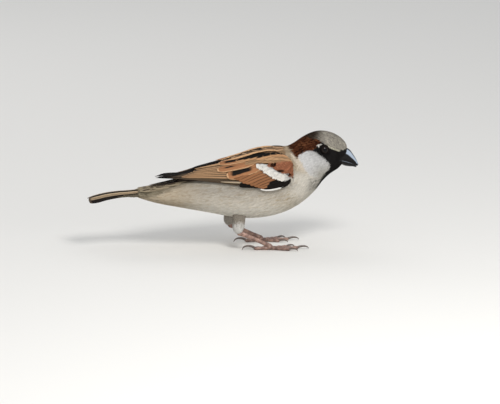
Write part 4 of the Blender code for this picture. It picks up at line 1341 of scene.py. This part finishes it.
def feather_material():
    """Soft feathers: the marking's colour, darker at the roots and paler at the tips (partly own colour, partly
    painted shade), with fine variation.
    """
    made, wire = new_material("soft_feathers", Roughness=0.85, Specular_IOR_Level=0.04)
    fine = wire.noise(2600.0, 2.0, wire.place())
    # light darkens the lances towards their roots: partly the feathers' own darker bases, partly painted shade
    # where lances lie under others, in place of the shading that the calm normals take away
    light = (0.66 + wire.carried("along") * 0.17) * (0.88 + fine * 0.24)
    wire.surface(Base_Color=wire.shaded(wire.carried("plumage", "Color"), light))
    return made


def vane_group():
    """Masks of a vane from its own map: core, rim and tip, the barbs as height, and the quill line."""
    tree = bpy.data.node_groups.new("vane pattern", "ShaderNodeTree")
    given = ("U", "V", "Start", "End", "Half width", "Shift", "Rim width", "Tip from", "Ragged")
    for name in given:
        tree.interface.new_socket(name, in_out="INPUT", socket_type="NodeSocketFloat")
    for name in ("Core", "Rim", "Tip", "Barbs", "Quill"):
        tree.interface.new_socket(name, in_out="OUTPUT", socket_type="NodeSocketFloat")
    wire = Wiring(tree)
    sockets = wire.node("NodeGroupInput").outputs
    even_u, even_v, start, stop, half, shift, rim_width, tip_from, ragged = (
        Value(wire, sockets[name]) for name in given
    )
    u, v = even_u + ragged * 0.10, even_v + ragged * 0.22
    core = wire.step(start - 0.07, start + 0.07, u) * wire.step(stop + 0.05, stop - 0.05, u)
    core = core * wire.step(half + 0.10, half - 0.10, abs(v - shift))
    edge, inner = abs(even_v), 1.0 - rim_width
    rim = wire.step(inner - 0.10, inner + 0.05, edge)
    rim = wire.math("MAXIMUM", rim, wire.step(0.965, 0.99, even_u + rim_width * 0.12))
    tip = wire.step(tip_from - 0.06, tip_from + 0.06, u)
    barbs = wire.math("SINE", (even_u * 58.0 - edge * 16.0) * 6.2832)
    masks = (core, rim, tip, barbs, wire.step(0.09, 0.04, edge))
    wire.node("NodeGroupOutput", dict(enumerate(masks)))
    return tree


def vane_material():
    """Stiff feathers: core, edge, rim and tip colours carried by each vane, with barbs and quill."""
    made, wire = new_material("vane_feathers", Roughness=0.7, Specular_IOR_Level=0.04)
    x, y = wire.get("SeparateXYZ", {0: wire.get("UVMap", uv_map="vane")}, ("X", "Y"))
    (shape, shift), (core, tip_from), (edge, rim_width), (rim, chance) = (
        wire.carried(name, ("Color", "Alpha")) for name in ("shape", "core", "edge", "rim")
    )
    start, stop, half = wire.get("SeparateColor", {0: shape}, ("Red", "Green", "Blue"))
    ragged = wire.noise(900.0, 4.0, wire.place()) - 0.5
    given = (x, y * 2.0 - 1.0, start, stop, half, shift, rim_width, tip_from, ragged)
    pattern = wire.node("ShaderNodeGroup", node_tree=vane_group())
    for socket, value in zip(pattern.inputs, given):
        wire.feed(socket, value)
    in_core, in_rim, in_tip, barbs, quill = (Value(wire, socket) for socket in pattern.outputs)
    paint = wire.mix(in_core, edge, core)
    paint = wire.mix(in_rim * 0.85, paint, rim)
    paint = wire.mix(in_tip, paint, rim)
    paint = wire.mix(quill * 0.35, paint, (0.02, 0.015, 0.012))
    streaks = wire.get("CombineXYZ", {"X": x * 9.0, "Y": y * 60.0, "Z": chance * 50.0})
    light = (0.78 + wire.noise(1.0, 3.0, streaks) * 0.44) * (1.0 + barbs * 0.05)
    wire.surface(Base_Color=wire.shaded(paint, light))
    wire.bump(0.22, 0.00004, barbs)
    return made


def eye_material():
    """A very dark brown iris with a black pupil, under a wet cornea."""
    made, wire = new_material("eye_wet", Roughness=0.04, Specular_IOR_Level=0.16)
    off = wire.carried("off_axis")
    iris = wire.mix(wire.noise(3000.0, 3.0, wire.place()), (0.006, 0.0035, 0.0025), (0.012, 0.007, 0.005))
    paint = wire.mix(wire.step(0.44, 0.39, off), iris, (0.0012, 0.0012, 0.0014))
    wire.surface(Base_Color=wire.mix(wire.step(0.66, 0.74, off), paint, (0.004, 0.003, 0.003)))
    return made


def bill_material():
    """Black horn with growth lines, a painted blue-grey reflection of the sky on the upper sides below a dark
    ridge, and a band of painted highlight along the lower half.
    """
    made, wire = new_material("bill_horn", Specular_IOR_Level=0.14)
    across, run, place = wire.carried("across"), wire.carried("lengthwise"), wire.place()
    uneven = (wire.noise(500.0, 3.0, place) - 0.5) * 0.16
    # blue marks the painted reflection of the sky on the upper sides, in the pale tones; uneven frays its edge
    blue = wire.step(0.50, 0.62, across + uneven) * wire.step(0.975, 0.90, across) * wire.step(0.99, 0.86, run)
    dark = wire.mix(wire.noise(900.0, 4.0, place), colour(12, 11, 11), colour(30, 28, 27))
    pale = wire.mix(wire.noise(1200.0, 4.0, place), colour(122, 132, 144), colour(172, 182, 194))
    wire.surface(Base_Color=wire.mix(blue, dark, pale), Roughness=0.30 + uneven * 0.8)
    stretched = wire.get("Mapping", {"Vector": place, "Scale": (0.35, 1.0, 1.0)})
    wire.bump(0.25, 0.00005, wire.noise(2200.0, 3.0, stretched))
    return made


def leg_material():
    """Brownish-pink scaled skin, darker in the creases and on the upper side of the toes."""
    made, wire = new_material("leg_skin", Roughness=0.36, Specular_IOR_Level=0.5, Subsurface_Weight=0.08,
                              Subsurface_Radius=(0.4, 0.2, 0.12), Subsurface_Scale=0.001)
    place = wire.place()
    cells = wire.get("TexVoronoi", {"Vector": place, "Scale": 1500.0}, "Distance", feature="DISTANCE_TO_EDGE")
    crease = wire.step(0.10, 0.02, cells)
    uneven = wire.step(0.32, 0.68, wire.noise(420.0, 4.0, place))
    height = wire.get("SeparateXYZ", {0: place}, "Z")
    paint = wire.mix(uneven, colour(104, 76, 66), colour(178, 144, 128))
    paint = wire.mix(crease * 0.4, paint, colour(80, 58, 50))
    paint = wire.mix(wire.step(0.008, 0.003, height) * 0.35, paint, colour(98, 78, 68))
    wire.surface(Base_Color=paint)
    wire.bump(0.3, 0.00006, crease, invert=True)
    return made


def claw_material():
    """Grey-brown horn, clouded by noise between two tones."""
    made, wire = new_material("claw_horn", Roughness=0.35, Specular_IOR_Level=0.5)
    uneven = wire.noise(700.0, 3.0, wire.place())
    wire.surface(Base_Color=wire.mix(uneven, colour(66, 56, 50), colour(112, 98, 88)))
    return made


# --- floor, light and camera --------------------------------------------------------------------------


def place_in_scene(name, data, location):
    """An object of the floor, lights or camera, at its place."""
    placed = bpy.data.objects.new(name, data)
    placed.location = location
    bpy.context.scene.collection.objects.link(placed)
    return placed


def stage():
    """A pale floor, soft lights and a long lens a little above the bird's level."""
    mesh = bpy.data.meshes.new("floor")
    far = 6.0
    mesh.from_pydata([(-far, -far, 0), (far, -far, 0), (far, far, 0), (-far, far, 0)], [], [(0, 1, 2, 3)])
    mesh.materials.append(new_material("floor", Roughness=0.9, Base_Color=(0.72, 0.70, 0.66))[0])
    place_in_scene("floor", mesh, (0, 0, -0.0001))

    world = bpy.data.worlds.new("studio")
    bpy.context.scene.world = world
    world.use_nodes = True
    sky = world.node_tree.nodes["Background"].inputs
    sky["Color"].default_value, sky["Strength"].default_value = (0.92, 0.95, 1.0, 1), 0.70

    for name, place, size, power in (
        ("key", (0.10, -0.62, 0.62), 0.25, 4.4),
        ("fill", (0.50, -0.62, 0.06), 0.6, 2.9),
        ("back", (-0.3, 0.6, 0.6), 0.5, 1.2),
    ):
        data = bpy.data.lights.new(name, "AREA")
        data.size, data.energy = size, power
        light = place_in_scene(name, data, place)
        light.rotation_euler = (Vector((0, 0, 0.03)) - light.location).to_track_quat("-Z", "Y").to_euler()
        light.visible_camera = False
        light.visible_glossy = name == "key"

    azimuth, elevation, away, film, seen_width = math.radians(-8), math.radians(12), 3.5, 36, 0.275
    right = Vector((math.cos(azimuth), math.sin(azimuth), 0))
    ahead = Vector((-right.y, right.x, 0))
    back = Vector((0, 0, math.sin(elevation))) - ahead * math.cos(elevation)
    lens = bpy.data.cameras.new("camera")
    lens.lens = film * away / seen_width
    lens.clip_end = 50
    camera = place_in_scene("camera", lens, right * 0.0154 + right.cross(-back) * 0.0246 + back * away)
    camera.rotation_euler = (-back).to_track_quat("-Z", "Y").to_euler()
    bpy.context.scene.camera = camera
    bpy.context.scene.view_settings.view_transform = "Standard"


def main():
    """Makes the materials and every piece, from the skin outwards, then the stage."""
    soft, stiff, horn = feather_material(), vane_material(), bill_material()
    skin_finish, claw_finish, wet = leg_material(), claw_material(), eye_material()
    skin_piece(soft)
    body_coat(soft)
    thigh_coat(soft)
    for name in SIDES:
        wing_feathers(name, stiff, soft)
    shoulder_coat(soft)
    mantle_feathers(stiff)
    rump_feathers(stiff)
    tail_feathers(stiff)
    tail_coverts(soft)
    eyes(wet)
    bill(horn)
    for name in SIDES:
        foot(name, skin_finish, claw_finish)
    stage()


main()
